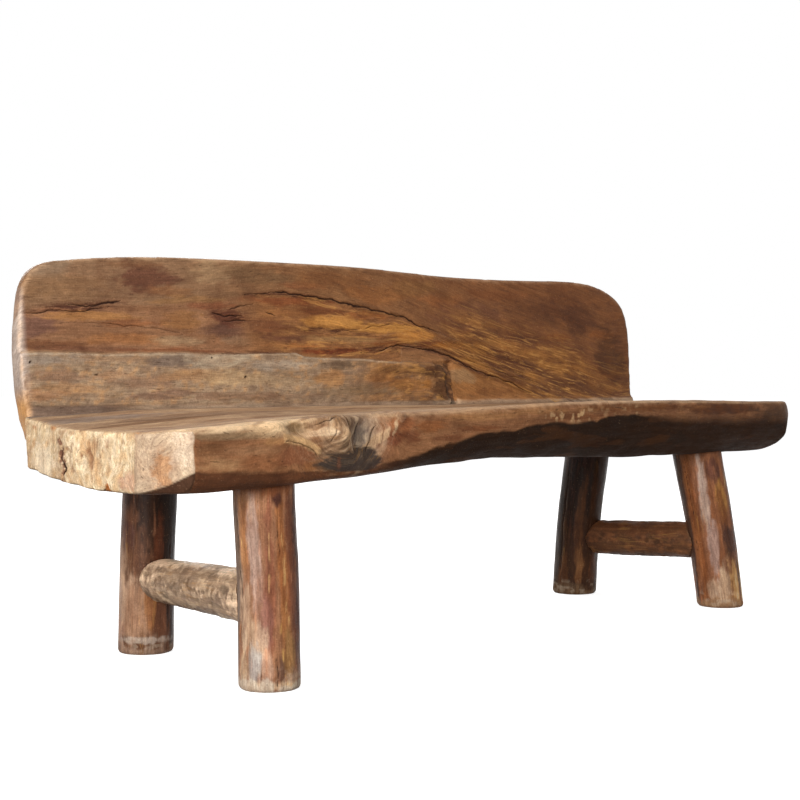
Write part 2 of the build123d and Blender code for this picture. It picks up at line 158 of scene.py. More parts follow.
def split(a, b, lines, where, height, crack, seed, dark=0.8, wander=3.0, gap=7):
    """Cuts cracks (line, half width, depth) into height and marks them in crack.

    Without a value for dark, wide cracks are darker than narrow ones.
    """
    for index, (line, half, depth) in enumerate(lines):
        profile = groove(a, b, line, half, seed + gap * index, wander) * where
        height -= depth * np.sqrt(profile)
        crack = np.maximum(crack, profile * (dark or 0.5 + 0.12 * half))
    return height, crack


def near_lines(a, b, lines, reach):
    """Where a point lies within reach of a crack's edge."""
    near = np.zeros(len(a), bool)
    for line, half, _ in lines:
        near |= polyline_distance(a, b, line)[0] < half + reach
    return near


# ---------------------------------------------------------------- mesh tools
# Mesh sizes before any refining
BACK_VOXEL, SEAT_VOXEL, LEG_VOXEL, RAIL_VOXEL, PEG_VOXEL = 4.5, 5.0, 2.8, 2.6, 2.0


def new_object(name, data):
    """An object with this data, put in the scene."""
    made = bpy.data.objects.new(name, data)
    scene.collection.objects.link(made)
    return made


class Wood:
    """A mesh made from a CAD node, in millimetres, with the fields that its material reads."""

    def __init__(self, node, name, voxel):
        piece = new_object(name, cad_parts[node].data.copy())
        remesh = piece.modifiers.new("remesh", "REMESH")
        remesh.mode = "VOXEL"
        remesh.voxel_size = voxel / 1000
        graph = bpy.context.evaluated_depsgraph_get()
        mesh = bpy.data.meshes.new_from_object(piece.evaluated_get(graph))
        piece.modifiers.clear()
        piece.data = mesh
        mesh.name = name
        mesh.materials.clear()
        self.node, self.piece = node, piece
        self.read()

    def read(self):
        """Takes points and edges over from the Blender mesh."""
        mesh = self.piece.data
        count = len(mesh.vertices)
        self.points = np.empty(count * 3)
        mesh.vertices.foreach_get("co", self.points)
        self.points = self.points.reshape(-1, 3) * 1000
        self.edges = np.empty(len(mesh.edges) * 2, np.int64)
        mesh.edges.foreach_get("vertices", self.edges)
        self.edges = self.edges.reshape(-1, 2)
        self.valence = np.bincount(self.edges.ravel(), minlength=count)

    def write(self):
        mesh = self.piece.data
        mesh.vertices.foreach_set("co", (self.points / 1000).ravel())
        mesh.update()

    def normals(self):
        """Unit normals of the points as they are now."""
        self.write()
        mesh = self.piece.data
        normals = np.empty(len(mesh.vertices) * 3)
        mesh.vertices.foreach_get("normal", normals)
        return normals.reshape(-1, 3)

    def averaged(self, values):
        """Each vertex's mean over its neighbours."""
        first, second = self.edges.T
        total = np.bincount(first, values[second], len(values))
        total += np.bincount(second, values[first], len(values))
        return total / np.maximum(self.valence, 1)

    def smooth(self, times, weight=1.0):
        """Moves points half way to their neighbours' mean. They move in place, as do views of them."""
        for _ in range(times):
            mean = columns(*[self.averaged(values) for values in self.points.T])
            share = np.asarray(weight)[..., None] if np.ndim(weight) else weight
            self.points += share * 0.5 * (mean - self.points)

    def convexity(self, times):
        """How far each vertex stands out from its smoothed surroundings, in millimetres."""
        kept, normals = self.points.copy(), self.normals()
        self.smooth(times)
        height = np.sum((kept - self.points) * normals, axis=1)
        self.points = kept
        return height

    def refine(self, near):
        """Halves the mesh size where near is true."""
        self.write()
        work = bmesh.new()
        work.from_mesh(self.piece.data)
        work.verts.ensure_lookup_table()
        chosen = [e for e in work.edges if near[e.verts[0].index] and near[e.verts[1].index]]
        bmesh.ops.subdivide_edges(work, edges=chosen, cuts=1, use_grid_fill=True)
        work.to_mesh(self.piece.data)
        work.free()
        self.read()

    def push(self, normals, height):
        """Moves points along their normals, in place, so x, y and z taken from them move too."""
        self.points += normals * np.asarray(height)[:, None]

    def finish(self, slot, material, paint, grain, **fields):
        """Writes vertices and fields, smooths the shading and enters the piece."""
        self.write()
        mesh = self.piece.data
        layer = mesh.attributes.new("tint", "FLOAT_COLOR", "POINT")
        tint = np.concatenate([paint.tint, np.ones((len(grain), 1))], axis=1)
        layer.data.foreach_set("color", np.clip(tint, 0, 1).ravel())
        layer = mesh.attributes.new("grain", "FLOAT_VECTOR", "POINT")
        layer.data.foreach_set("vector", grain.ravel())
        for name, values in fields.items():
            layer = mesh.attributes.new(name, "FLOAT", "POINT")
            layer.data.foreach_set("value", values)
        mesh.shade_smooth()
        mesh.materials.append(material)
        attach(self.piece, "root")
        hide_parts(self.node)


class Paint:
    """A base colour for each vertex, laid on in patches."""

    def __init__(self, points, colour, lump, seed):
        self.tint = np.ones((len(points), 3)) * rgb(*colour)
        lump = np.array(lump, float)
        self.ragged = layers(points, seed, (0.5, lump), (0.4, lump / 2.6), (0.35, lump / 6))

    def lay(self, weight, colour):
        """Covers what is there by weight, 0 to 1."""
        weight = np.clip(weight, 0, 1)[:, None]
        self.tint = self.tint * (1 - weight) + weight * rgb(*colour)

    def patch(self, weight, shape, colour):
        """A patch with a ragged edge; shape is 1 inside and 0 outside."""
        self.lay(weight * step(0.22, 0.68, shape + 0.55 * self.ragged * step(0.02, 0.3, shape)), colour)

    def colour_patches(self, mask, a, b, table):
        """Patches on a face: centre, half sizes, colour and weight."""
        for *place, red, green, blue, weight in table:
            self.patch(mask * weight, blob(a, b, place[:2], place[2:]), (red, green, blue))

    def colour_patches_round(self, bearing, along, table):
        """Patches round a log: bearing, place along it, half sizes, colour and weight."""
        for middle, at, half, tall, red, green, blue, weight in table:
            away = ((bearing - middle + 180) % 360 - 180) / half
            self.patch(weight, np.exp(-(away**2) - ((along - at) / tall) ** 2), (red, green, blue))

    def two_tone(self, weight, field, low, high, light, dark):
        """Light where a field is high, dark where it is as far below zero."""
        self.lay(weight * step(low, high, field), light)
        self.lay(weight * step(-low, -high, field), dark)


# ---------------------------------------------------------------- materials
class Nodes:
    """Short names for the shader nodes used below."""

    def __init__(self, owner):
        self.tree = owner.node_tree

    def put(self, socket, value):
        """Links a socket to another, or gives it a value."""
        if isinstance(value, bpy.types.NodeSocket):
            self.tree.links.new(value, socket)
        elif value is not None:
            socket.default_value = (*value, 1) if socket.type == "RGBA" else value

    def new(self, kind):
        return self.tree.nodes.new("ShaderNode" + kind)

    def fill(self, node, inputs, output=0):
        """Puts links or values into a node's inputs and returns one of its outputs."""
        for socket, value in inputs.items():
            self.put(node.inputs[socket], value)
        return node.outputs[output]

    def attribute(self, name, output="Fac"):
        node = self.new("Attribute")
        node.attribute_name = name
        return node.outputs[output]

    def place(self):
        return self.new("TexCoord").outputs["Object"]

    def math(self, operation, a, b, clamp=False):
        node = self.new("Math")
        node.operation = operation
        node.use_clamp = clamp
        return self.fill(node, {0: a, 1: b})

    def times(self, a, b, clamp=False):
        return self.math("MULTIPLY", a, b, clamp)

    def plus(self, a, b, clamp=False):
        return self.math("ADD", a, b, clamp)

    def stretch(self, vector, factors):
        node = self.new("VectorMath")
        node.operation = "MULTIPLY"
        return self.fill(node, {0: vector, 1: factors})

    def noise(self, vector, scale, detail, rough=0.55, distortion=0.0):
        inputs = {"Vector": vector, "Scale": scale, "Detail": detail, "Roughness": rough}
        return self.fill(self.new("TexNoise"), {**inputs, "Distortion": distortion}, "Fac")

    def span(self, value, low, high, start=0.0, end=1.0):
        """Goes smoothly from start to end while value goes from low to high."""
        node = self.new("MapRange")
        node.interpolation_type = "SMOOTHSTEP"
        return self.fill(node, dict(enumerate((value, low, high, start, end))))

    def mix(self, factor, a, b, mode="MIX"):
        node = self.new("Mix")
        node.data_type = "RGBA"
        node.blend_type = mode
        return self.fill(node, {0: factor, 6: a, 7: b}, 2)

    def bump(self, height, distance, strength, normal=None):
        inputs = {"Height": height, "Distance": distance, "Strength": strength, "Normal": normal}
        return self.fill(self.new("Bump"), inputs)

    def ramp(self, value, stops):
        """Colours over value, 0 to 1, given as places and colours."""
        node = self.new("ValToRGB")
        elements = node.color_ramp.elements
        while len(elements) < len(stops):
            elements.new(0.5)
        for element, (place, colour) in zip(elements, stops):
            element.position = place
            element.color = (*colour, 1)
        return self.fill(node, {0: value})

    def seen(self):
        """1 for what the camera sees, directly or in a reflection, and 0 for the light on the bench."""
        rays = self.new("LightPath").outputs
        mirrored = self.math("MAXIMUM", rays["Is Glossy Ray"], rays["Is Transmission Ray"])
        return self.math("MAXIMUM", rays["Is Camera Ray"], mirrored)


def new_material(name):
    """A material, the short names for its nodes, and its shader."""
    material = bpy.data.materials.new(name)
    material.use_nodes = True
    n = Nodes(material)
    return material, n, n.tree.nodes["Principled BSDF"]


def wood_material(name, streaks, mottling, gloss, shine):
    """Waxed old wood. It reads the fields tint, grain, crack, tear, fleck, dry and wear."""
    material, n, shader = new_material(name)
    grain = n.attribute("grain", "Vector")
    place = n.place()
    crack, dry, tear = n.attribute("crack"), n.attribute("dry"), n.attribute("tear")
    fleck, wear = n.attribute("fleck"), n.attribute("wear")

    def grained(factors, *look):
        """Noise drawn out along the grain; factors are for across, along and round it."""
        return n.noise(n.stretch(grain, factors), 1, *look)

    def tone(base, value, reach, amount, dark, light):
        """Darkens base where value is low and lightens it where it is high."""
        dark, light = 1 - amount * np.array(dark), 1 + amount * np.array(light)
        stops = [(0.5 - reach, dark), (0.5, (1, 1, 1)), (0.5 + reach, light)]
        return n.mix(1.0, base, n.ramp(value, stops), "MULTIPLY")

    def stain(base, field, amount, colour):
        """Lays a colour on base where a field is high."""
        return n.mix(n.times(field, amount), base, colour)

    # Growth rings seen as streaks, and mottling over them
    broad = grained((42, 2.6, 12), 5, 0.6, 0.5)
    streak = grained((210, 7, 40), 5, 0.65, 0.3)
    fibre = grained((1100, 26, 140), 2, 0.6)
    mottle = grained((64, 22, 50), 7, 0.68, 0.9)
    blotch = n.noise(place, 11, 5, 0.62, 0.6)
    speckle = n.noise(place, 320, 3, 0.65)

    base = n.attribute("tint", "Color")
    base = tone(base, broad, 0.2, streaks, (1, 1.3, 1.5), (1, 1, 0.9))
    base = tone(base, streak, 0.2, streaks, (1, 1.1, 1.2), (1, 0.9, 0.8))
    base = tone(base, mottle, 0.17, mottling, (1, 1.2, 1.3), (1, 1, 0.9))
    base = tone(base, blotch, 0.2, mottling, (1, 1.3, 1.4), (0.7, 0.8, 0.8))
    base = tone(base, speckle, 0.2, 1.0, (0.16, 0.19, 0.22), (0.15, 0.15, 0.14))
    base = n.mix(n.span(fibre, 0.3, 0.7, 0.28, 0.0), base, (0.03, 0.018, 0.01))

    # Torn fibre: gold flecks and dark gaps in the rough places, dark rags along the tears
    torn = grained((150, 13, 40), 5, 0.7, 0.9)
    rags = grained((240, 26, 60), 4, 0.7, 0.6)
    gold = n.times(n.span(torn, 0.5, 0.66), fleck, clamp=True)
    base = stain(base, gold, 0.8, rgb(196, 142, 78))
    gap = n.times(n.span(torn, 0.46, 0.32), fleck, clamp=True)
    base = stain(base, gap, 0.7, rgb(72, 38, 22))
    rag = n.times(n.span(rags, 0.44, 0.58), tear, clamp=True)
    base = stain(base, rag, 0.9, rgb(68, 37, 27))

    # Paler on the arrises, from dust and wear and as a painted highlight; darker in the hollows
    worn = n.times(n.span(wear, 0.15, 1.6), n.span(mottle, 0.36, 0.6), clamp=True)
    base = stain(base, worn, 0.5, rgb(206, 168, 132))
    hollow_dark = n.span(wear, -0.25, -1.6)
    base = stain(base, hollow_dark, 0.55, rgb(56, 36, 25))
    pores = n.span(grained((700, 50, 260), 2), 0.36, 0.28)
    base = stain(base, pores, 0.55, rgb(48, 28, 18))
    base = n.mix(n.span(speckle, 0.62, 0.76, 0.0, 0.2), base, rgb(205, 170, 135))
    broken = n.span(mottle, 0.3, 0.5, 0.55, 1.0)
    # Darkens along the cracks; on the back the same field also holds lines of painted shade
    base = stain(base, n.span(crack, 0.1, 0.8), broken, rgb(40, 22, 15))
    n.put(shader.inputs["Base Color"], base)

    rough = n.plus(n.span(mottle, 0.3, 0.7, gloss - 0.07, gloss + 0.1), n.times(dry, 0.3))
    rough = n.plus(rough, n.span(streak, 0.3, 0.7, 0.05, -0.04))
    n.put(shader.inputs["Roughness"], n.plus(rough, n.times(crack, 0.4), clamp=True))
    shader.inputs["Specular IOR Level"].default_value = shine

    fine = n.plus(n.times(fibre, 0.4), n.times(streak, 0.8))
    fine = n.math("SUBTRACT", fine, n.times(pores, 0.5))
    fine = n.plus(fine, n.times(n.times(torn, fleck), 6.0))
    fine = n.math("SUBTRACT", fine, n.times(rag, 3.0))
    rugged = n.times(n.plus(mottle, speckle), n.plus(dry, 0.2))
    normal = n.bump(rugged, 0.002, 0.6, n.bump(fine, 0.0006, 0.6))
    n.put(shader.inputs["Normal"], normal)
    return material


# Strength of the streaks and of the mottling, roughness and shine
seat_wood = wood_material("seat_wood", 0.18, 0.22, 0.46, 0.05)
back_wood = wood_material("back_wood", 0.14, 0.22, 0.46, 0.09)
leg_wood = wood_material("leg_wood", 0.22, 0.28, 0.36, 0.07)
rail_wood = wood_material("rail_wood", 0.16, 0.2, 0.42, 0.08)
peg_wood = wood_material("peg_wood", 0.16, 0.16, 0.6, 0.25)

# ---------------------------------------------------------------- the back slab
PEG_PLACES, PEG_HEIGHT = range(-710, 700, 280), 417  # middles of the pegs' heads at the rear
BAND_END = 236  # the grey band's right end, a torn lump
PITH_LEVEL, PITH_W = -90, 260  # the back's growth rings run round this line
# The bed between back and seat: u along the bench, v up the slab, w forward
SKEW, LEAN = math.radians(-4.6), math.radians(7)
BED_ORIGIN = np.array([0.0, 191.0, 450.0])
BED_ALONG = np.array([math.cos(SKEW), math.sin(SKEW), 0])
BED_OUT = np.array([
    math.sin(SKEW) * math.cos(LEAN), -math.cos(SKEW) * math.cos(LEAN), math.sin(LEAN)
])
BED_UP = np.cross(BED_OUT, BED_ALONG)


def bed_frame(points):
    """u, v and w of points."""
    local = points - BED_ORIGIN
    return local @ BED_ALONG, local @ BED_UP, local @ BED_OUT


BAND_TOP = [(-830, 101), (-176, 106), (-156, 99), (0, 96.5), (163, 86), (224, 88)]
POCKET_TOP = [(-330, 214), (-289, 225), (-188, 233), (-85, 222), (105, 195), (139, 185),
              (190, 170), (233, 156), (337, 128), (413, 106), (525, 84), (659, 60), (796, 19)]
LONG_CRACK = [(40, 112), (90, 124), (134, 127), (175, 119), (213, 116), (275, 98), (336, 69),
              (401, 56), (510, 18)]
# The grain swings round the pocket: it follows these two lines and what lies between them
FLOW_LOW = [(-830, 101), (-156, 100), (0, 104), (134, 122), (213, 116), (275, 98), (336, 69),
            (401, 54), (510, 16), (640, -34), (840, -110)]
FLOW_HIGH = [(-830, 190), (-560, 198), (-400, 212), (-289, 225), (-188, 233), (-85, 222),
             (105, 195), (190, 170), (337, 128), (413, 106), (525, 84), (659, 60), (796, 19)]
# Cracks in the face: line, half width, depth
BACK_CRACKS = [
    (LONG_CRACK, 3.0, 3.5),
    # The pocket's top edge is cut as a groove and darkened like the cracks: its dark line is painted shade
    # under the ledge above the pocket
    (POCKET_TOP[1:8], 3.4, 2.6),
    ([(-780, 174), (-720, 180), (-650, 183), (-600, 192)], 2.4, 2.2),
    ([(-690, 192), (-650, 190), (-610, 198), (-576, 203)], 3.4, 2.4),
    ([(-698, 158), (-640, 160), (-570, 157), (-505, 150), (-440, 143)], 1.5, 1.6),
    ([(-372, 184), (-340, 178), (-300, 180)], 3.0, 2.6),
    ([(-352, 170), (-310, 173), (-274, 172)], 2.6, 2.4),
    ([(-330, 192), (-300, 200), (-268, 207)], 2.2, 2.0),
    ([(-240, 192), (-215, 185)], 2.4, 2.2),
    ([(-100, 150), (0, 158), (90, 172), (160, 170)], 1.4, 1.4),
    ([(180, 122), (250, 118), (330, 92), (420, 66), (520, 40)], 1.6, 1.8),
]
REAR_CRACKS = [
    ([(-740, 170), (-560, 176), (-400, 166), (-250, 172)], 2.2, 3.0),
    ([(60, 214), (300, 206), (520, 214)], 2.0, 2.6),
    ([(-160, 80), (40, 72), (220, 80)], 1.6, 2.2),
    ([(560, 120), (680, 128), (790, 122)], 2.2, 3.0),
]
# Ragged tears along the grain: line and half width
BACK_TEARS = [
    ([(-790, 176), (-700, 186), (-620, 192), (-560, 204)], 10),
    ([(-380, 188), (-330, 180), (-262, 176)], 12),
    ([(-300, 222), (-188, 230), (-60, 216)], 6),
    ([(-160, 112), (0, 112), (70, 122), (170, 118)], 6),
    ([(60, 120), (134, 126), (213, 116), (336, 70), (440, 44)], 7),
    ([(-420, 106), (-300, 107), (-180, 108)], 4),
    ([(-200, 150), (-100, 158), (20, 150)], 5),
    ([(220, 160), (330, 132), (440, 100), (560, 60)], 5),
    ([(330, 100), (440, 74), (560, 30)], 5),
]
WORM_HOLES = [(-779, 83), (-385, 95), (-308, 57), (-646, 62), (212, 14)]
# Stains: centre, half sizes, colour and weight. First over the whole face of the back
BACK_STAINS = [
    (-735, 262, 60, 26, 136, 112, 90, 0.7), (-700, 225, 110, 26, 126, 92, 62, 0.6),
    (-520, 246, 74, 34, 98, 60, 44, 0.9), (-470, 226, 60, 12, 142, 96, 60, 0.5),
    (-560, 278, 90, 12, 120, 82, 54, 0.5), (-420, 206, 90, 11, 152, 112, 72, 0.7),
    (-360, 262, 60, 24, 152, 122, 90, 0.7), (-250, 262, 90, 20, 120, 90, 62, 0.7),
    (-150, 246, 60, 9, 120, 70, 42, 0.6), (-60, 262, 100, 20, 126, 82, 48, 0.6),
    (60, 236, 90, 20, 142, 92, 52, 0.7), (170, 254, 70, 18, 128, 88, 52, 0.7),
    (250, 226, 80, 20, 134, 82, 46, 0.6), (330, 200, 110, 36, 104, 66, 46, 0.8),
    (420, 246, 90, 14, 118, 70, 40, 0.6), (560, 205, 120, 36, 92, 56, 35, 0.6),
    (660, 246, 80, 22, 104, 62, 36, 0.5), (600, 150, 50, 12, 126, 74, 38, 0.7),
    (690, 200, 60, 40, 82, 48, 30, 0.7), (770, 160, 46, 12, 122, 72, 38, 0.7),
    (790, 90, 50, 80, 72, 42, 23, 0.8),
]
# On the orange-brown stretch between the torn cracks and the band
LEFT_STAINS = [
    (-770, 148, 56, 20, 112, 78, 64, 0.9), (-760, 117, 120, 10, 108, 68, 44, 0.8),
    (-640, 172, 100, 9, 168, 118, 68, 0.7), (-560, 130, 120, 10, 160, 106, 62, 0.6),
    (-620, 110, 130, 6, 100, 64, 46, 0.7), (-480, 108, 120, 5, 120, 68, 40, 0.7),
    (-450, 130, 70, 10, 164, 134, 102, 0.8), (-560, 160, 70, 8, 132, 82, 50, 0.7),
    (-440, 166, 50, 20, 150, 104, 62, 0.7), (-350, 150, 60, 18, 106, 74, 60, 0.9),
    (-330, 176, 50, 16, 92, 52, 38, 0.9), (-300, 130, 70, 9, 150, 118, 90, 0.7),
    (-380, 200, 60, 8, 126, 70, 44, 0.6),
]
# In the ochre pocket
POCKET_STAINS = [
    (-190, 216, 110, 12, 120, 66, 38, 0.8), (-170, 190, 100, 10, 150, 100, 60, 0.8),
    (-90, 196, 70, 9, 112, 62, 36, 0.7), (-60, 174, 80, 14, 184, 128, 66, 0.9),
    (-230, 160, 60, 16, 104, 62, 40, 0.8), (-200, 136, 60, 10, 90, 54, 40, 0.8),
    (-150, 122, 90, 6, 160, 100, 52, 0.7), (-60, 112, 130, 6, 112, 52, 28, 0.9),
    (20, 190, 80, 9, 140, 84, 44, 0.7), (70, 164, 100, 12, 186, 130, 66, 0.9),
    (90, 130, 70, 8, 128, 74, 38, 0.7), (150, 146, 60, 12, 182, 122, 60, 0.9),
    (-20, 138, 120, 7, 158, 122, 80, 0.6), (210, 130, 50, 9, 112, 62, 34, 0.8),
    (260, 128, 50, 8, 168, 108, 50, 0.7),
]
# On the grey band
BAND_STAINS = [
    (-740, 88, 80, 10, 150, 134, 118, 0.9), (-600, 92, 90, 6, 150, 118, 90, 0.6),
    (-470, 86, 64, 14, 116, 98, 86, 0.9), (-370, 86, 90, 14, 174, 156, 132, 0.8),
    (-720, 58, 60, 12, 136, 104, 82, 0.8), (-690, 36, 110, 12, 176, 134, 94, 0.6),
    (-600, 60, 60, 12, 170, 130, 96, 0.6), (-540, 46, 90, 18, 140, 108, 86, 0.7),
    (-440, 60, 80, 12, 172, 130, 90, 0.6), (-500, 22, 120, 9, 126, 96, 78, 0.8),
    (-330, 54, 70, 20, 176, 146, 110, 0.7), (-240, 80, 90, 12, 166, 150, 132, 0.7),
    (-210, 46, 90, 14, 152, 126, 98, 0.7), (-90, 52, 46, 20, 176, 124, 72, 0.6),
    (-60, 82, 50, 10, 104, 84, 66, 0.8), (-10, 28, 110, 12, 124, 100, 76, 0.8),
    (40, 62, 40, 18, 156, 106, 58, 0.6), (120, 40, 60, 14, 158, 106, 56, 0.6),
    (110, 72, 70, 9, 116, 78, 46, 0.8), (190, 68, 34, 16, 88, 58, 36, 0.9),
    (214, 36, 26, 30, 92, 62, 40, 0.9), (176, 44, 18, 16, 158, 106, 54, 0.8),
    (-780, 26, 60, 14, 160, 116, 82, 0.7), (-300, 18, 140, 9, 128, 98, 76, 0.8),
]


def flow(u, v):
    """Place across the grain on the back's face, led by the two flow lines."""
    def level(line):
        return sum(np.interp(u + shift, *zip(*line)) for shift in (-36, -18, 0, 18, 36)) / 5

    low, high = level(FLOW_LOW), level(FLOW_HIGH)
    share = (v - low) / (high - low)
    inside = 100 + 110 * np.clip(share, 0, 1)
    return inside + np.maximum(v - high, 0) - np.maximum(low - v, 0)


def dress_back():
    wood = Wood("back_slab", "back", BACK_VOXEL)
    wood.smooth(3)
    # Finer mesh along the cracks and along the band's top
    for reach in (14, 7):
        u, v, w = bed_frame(wood.points)
        near = near_lines(u, v, BACK_CRACKS, reach)
        for line in (BAND_TOP, [(224, 88), (249, 70), (254, 40), (252, 4)]):
            near |= polyline_distance(u, v, line)[0] < 0.7 * reach
        near &= (w > -16) & (v > 3)
        near |= near_lines(u, v, REAR_CRACKS, reach) & (w < -20)
        wood.refine(near)

    points = wood.points
    u, v, w = bed_frame(points)
    normals = wood.normals()
    facing = normals @ BED_OUT
    front = step(0.2, 0.6, facing)
    rear = step(0.2, 0.6, -facing)
    shown = step(-0.3, 0.1, facing)
    plane = columns(u, v, w)
    lower = np.interp(u, *zip(*BAND_TOP))
    upper = np.interp(u, *zip(*POCKET_TOP))
    long_line = np.interp(u, *zip(*LONG_CRACK))
    level = flow(u, v)
    streamed = columns(u, level, w)
    wander = layers(plane, 5, (5, 60), (2.5, 17))

    # The band's top edge wanders a little, and its right end is a torn, rounded lump
    near_top = bell(v - lower, 12) * step(-30, -16, w) * band(u, -860, 230, 20)
    shift = layers(plane, 8, (1.4, (120, EVEN, EVEN)), (0.8, (26, EVEN, EVEN))) * near_top
    knot_end = bell(u - BAND_END, 34) * band(v, 2, 96, 8) * step(-30, -14, w)
    slide = knot_end * layers(plane, 11, (6, 26), (3, 11))
    wood.points = points + BED_UP * shift[:, None] + BED_ALONG * slide[:, None]

    # Waves left by hewing, the rough pocket under the upper band, and the cracks
    height = front * layers(streamed, 21, (0.9, (190, 50, 60)), (0.5, (70, 18, 24)))
    height += front * 0.25 * noise(streamed, (34, 8, 12), 25)
    height += rear * layers(plane, 23, (1.6, (120, 46, 46)), (0.7, (45, 20, 20)))
    pocket = step(0, 7, upper - v + wander) * step(-3, 6, v - lower + 0.4 * wander)
    pocket *= step(-350, -230, u + 2 * wander) * (1 - step(470, 700, u))
    pocket *= step(-6, 8, v - long_line + 0.5 * wander + 400 * step(120, 60, u))
    coarse = layers(streamed, 31, (1, (46, 9, 30)), (0.6, (20, 5, 12)))
    height -= front * pocket * (2.6 + 1.1 * coarse) * step(700, 300, u)
    streaks = front * step(240, 380, u) * step(-40, 20, v - long_line + 300 * step(510, 640, u))
    streaks *= 1 - step(10, 60, v - upper)
    height += 0.7 * coarse * streaks
    below = shown * step(-3, 1, lower - v) * (1 - step(228, 244, u + 0.6 * wander)) * step(2, 7, v)
    corner = np.hypot(np.maximum(u - 206, 0), np.maximum(v - 56, 0) * step(150, 200, u)) + 1.2 * wander
    below *= 1 - step(28, 34, corner)
    height -= 8 * step(28, 36, corner) * step(-2, 3, lower + 4 - v) * band(u, 204, 262, 4) * front
    pits = noise(plane, (18, 9, 12), 41)
    height -= below * 1.2 * step(0.4, 0.8, pits)
    height += below * 0.5 * noise(plane, (11, 8, 8), 43)
    height += knot_end * front * (3.5 * noise(plane, (20, 16, 20), 42) + 1)
    face = front * step(-22, -14, w)
    height, crack = split(u, v, BACK_CRACKS, face, height, np.zeros(len(u)), 100, None)
    height, crack = split(u, v, REAR_CRACKS, rear, height, crack, 180)
    tear = np.zeros(len(u))
    for line, half in BACK_TEARS:
        distance, along = polyline_distance(u, v, line)
        fade = np.sin(math.pi * np.clip(along, 0.02, 0.98)) ** 0.5
        tear = np.maximum(tear, fade * bell(distance, half) * front)
    height -= 0.8 * tear
    holes = np.zeros(len(u))
    for a, b in WORM_HOLES:
        holes = np.maximum(holes, step(3.6, 1.8, np.hypot(u - a, v - b)) * front)
    height -= 2.5 * holes
    crack = np.maximum(crack, 0.9 * holes)
    # A dark line above the band, in the corner over its ledge: painted shade, carried in the crack field
    join = v - lower + 0.3 * wander
    ledge_corner_shade = front * band(join, 1, 4, 1.5) * band(u, -850, 215, 15)
    crack = np.maximum(crack, 0.34 * ledge_corner_shade * step(-0.5, 0.3, noise(plane, (50, EVEN, EVEN), 45)))
    wood.push(normals, height)

    # Colours
    paint = Paint(streamed, (112, 74, 47), (64, 17, 30), 50)
    paint.lay(step(-560, -850, u), (124, 90, 62))
    paint.lay(front, (130, 90, 58))
    paint.lay(front * step(-100, -500, u), (135, 102, 75))
    right = step(-150, 560, u) * step(-10, 20, v - upper + wander)
    paint.lay(front * right, (116, 73, 44))
    paint.colour_patches(front, u, v, BACK_STAINS)

    # Orange-brown between the torn cracks and the band
    middle = front * step(-2, 2, v - lower + 0.3 * wander)
    middle *= step(0, 8, np.interp(u, [-830, -520, -345, -289], [184, 196, 214, 225]) - v + wander)
    left = middle * step(-220, -330, u + 2 * wander)
    paint.lay(left, (140, 100, 71))
    paint.colour_patches(left, u, v, LEFT_STAINS)
    paint.lay(0.45 * tear * front, (120, 72, 50))

    # The ochre pocket and the streaks that run down to the right
    paint.lay(front * pocket, (134, 90, 56))
    paint.colour_patches(front * pocket, u, v, POCKET_STAINS)
    tan = front * step(250, 262, u + 0.5 * wander) * step(0, 10, long_line - v - 3 + 0.6 * wander)
    tan *= 1 - step(470, 560, u + wander)
    paint.lay(tan, (148, 100, 58))
    paint.patch(tan * 0.8, blob(u, v, (300, 62), (44, 18)), (146, 112, 78))
    paint.patch(tan * 0.7, blob(u, v, (380, 22), (60, 12)), (118, 74, 42))
    trail = front * step(210, 330, u) * (1 - tan)
    trail *= (1 - step(50, 130, v - upper + wander)) * step(-120, -60, level - 100)
    paint.lay(0.6 * trail * (1 - step(0, 90, v - upper)), (104, 62, 34))
    strokes = layers(streamed, 61, (1, (84, 20, EVEN)), (0.6, (36, 11, EVEN)))
    golden = trail * (1 - 0.75 * step(-10, 110, v - upper)) * (1 - 0.6 * step(-40, -90, level - 100))
    golden *= 1 - 0.6 * step(640, 780, u)
    paint.lay(0.55 * golden * step(-0.4, 0.7, strokes), (168, 114, 56))
    paint.lay(0.45 * trail * step(0.0, -0.8, strokes), (84, 50, 30))

    # The grey, weathered band below
    paint.lay(below, (154, 129, 104))
    paint.lay(below * step(-110, 90, u + 3 * wander), (138, 98, 64))
    gravel = layers(plane, 46, (1, (13, 8, 12)), (0.6, (6, 4, 6)))
    paint.two_tone(0.5 * below, gravel, 0.25, 0.8, (188, 142, 96), (116, 92, 76))
    paint.colour_patches(below, u, v, BAND_STAINS)
    # A pale line just below the band's top edge: painted highlight on the ledge
    paint.lay(shown * 0.5 * band(join, -5, -1, 1.5) * band(u, -850, 100, 40), (184, 162, 138))
    end_dark = shown * step(150, BAND_END, u + 2 * wander) * (1 - step(252, 262, u + 0.5 * wander))
    end_dark *= step(6, -4, v - lower)
    paint.patch(0.85, end_dark * step(-0.7, 0.5, gravel), (86, 56, 36))
    edge = shown * band(corner, 24, 33, 4) * band(u, 204, 262, 4) * step(-6, 0, 92 - v)
    paint.lay(0.8 * edge, (58, 37, 25))
    foot = front * step(7, 1, v + 0.3 * wander)
    paint.lay(0.6 * foot * step(-520, -640, u), (104, 92, 86))
    paint.lay(0.6 * foot * step(-640, -520, u), (160, 142, 122))

    # Rounded left arris and end, paler and rubbed, with a painted highlight where the arris turns to the
    # front
    arris = step(-776, -792, u + 0.3 * wander)
    paint.lay(arris, (168, 151, 140))
    paint.lay(0.8 * arris * band(facing, 0.25, 0.9, 0.12), (206, 184, 168))
    paint.patch(0.6 * arris, step(-0.2, 0.6, noise(plane, (30, 46, 30), 81)), (150, 112, 80))
    paint.lay(arris * step(50, 0, v), (178, 130, 80))

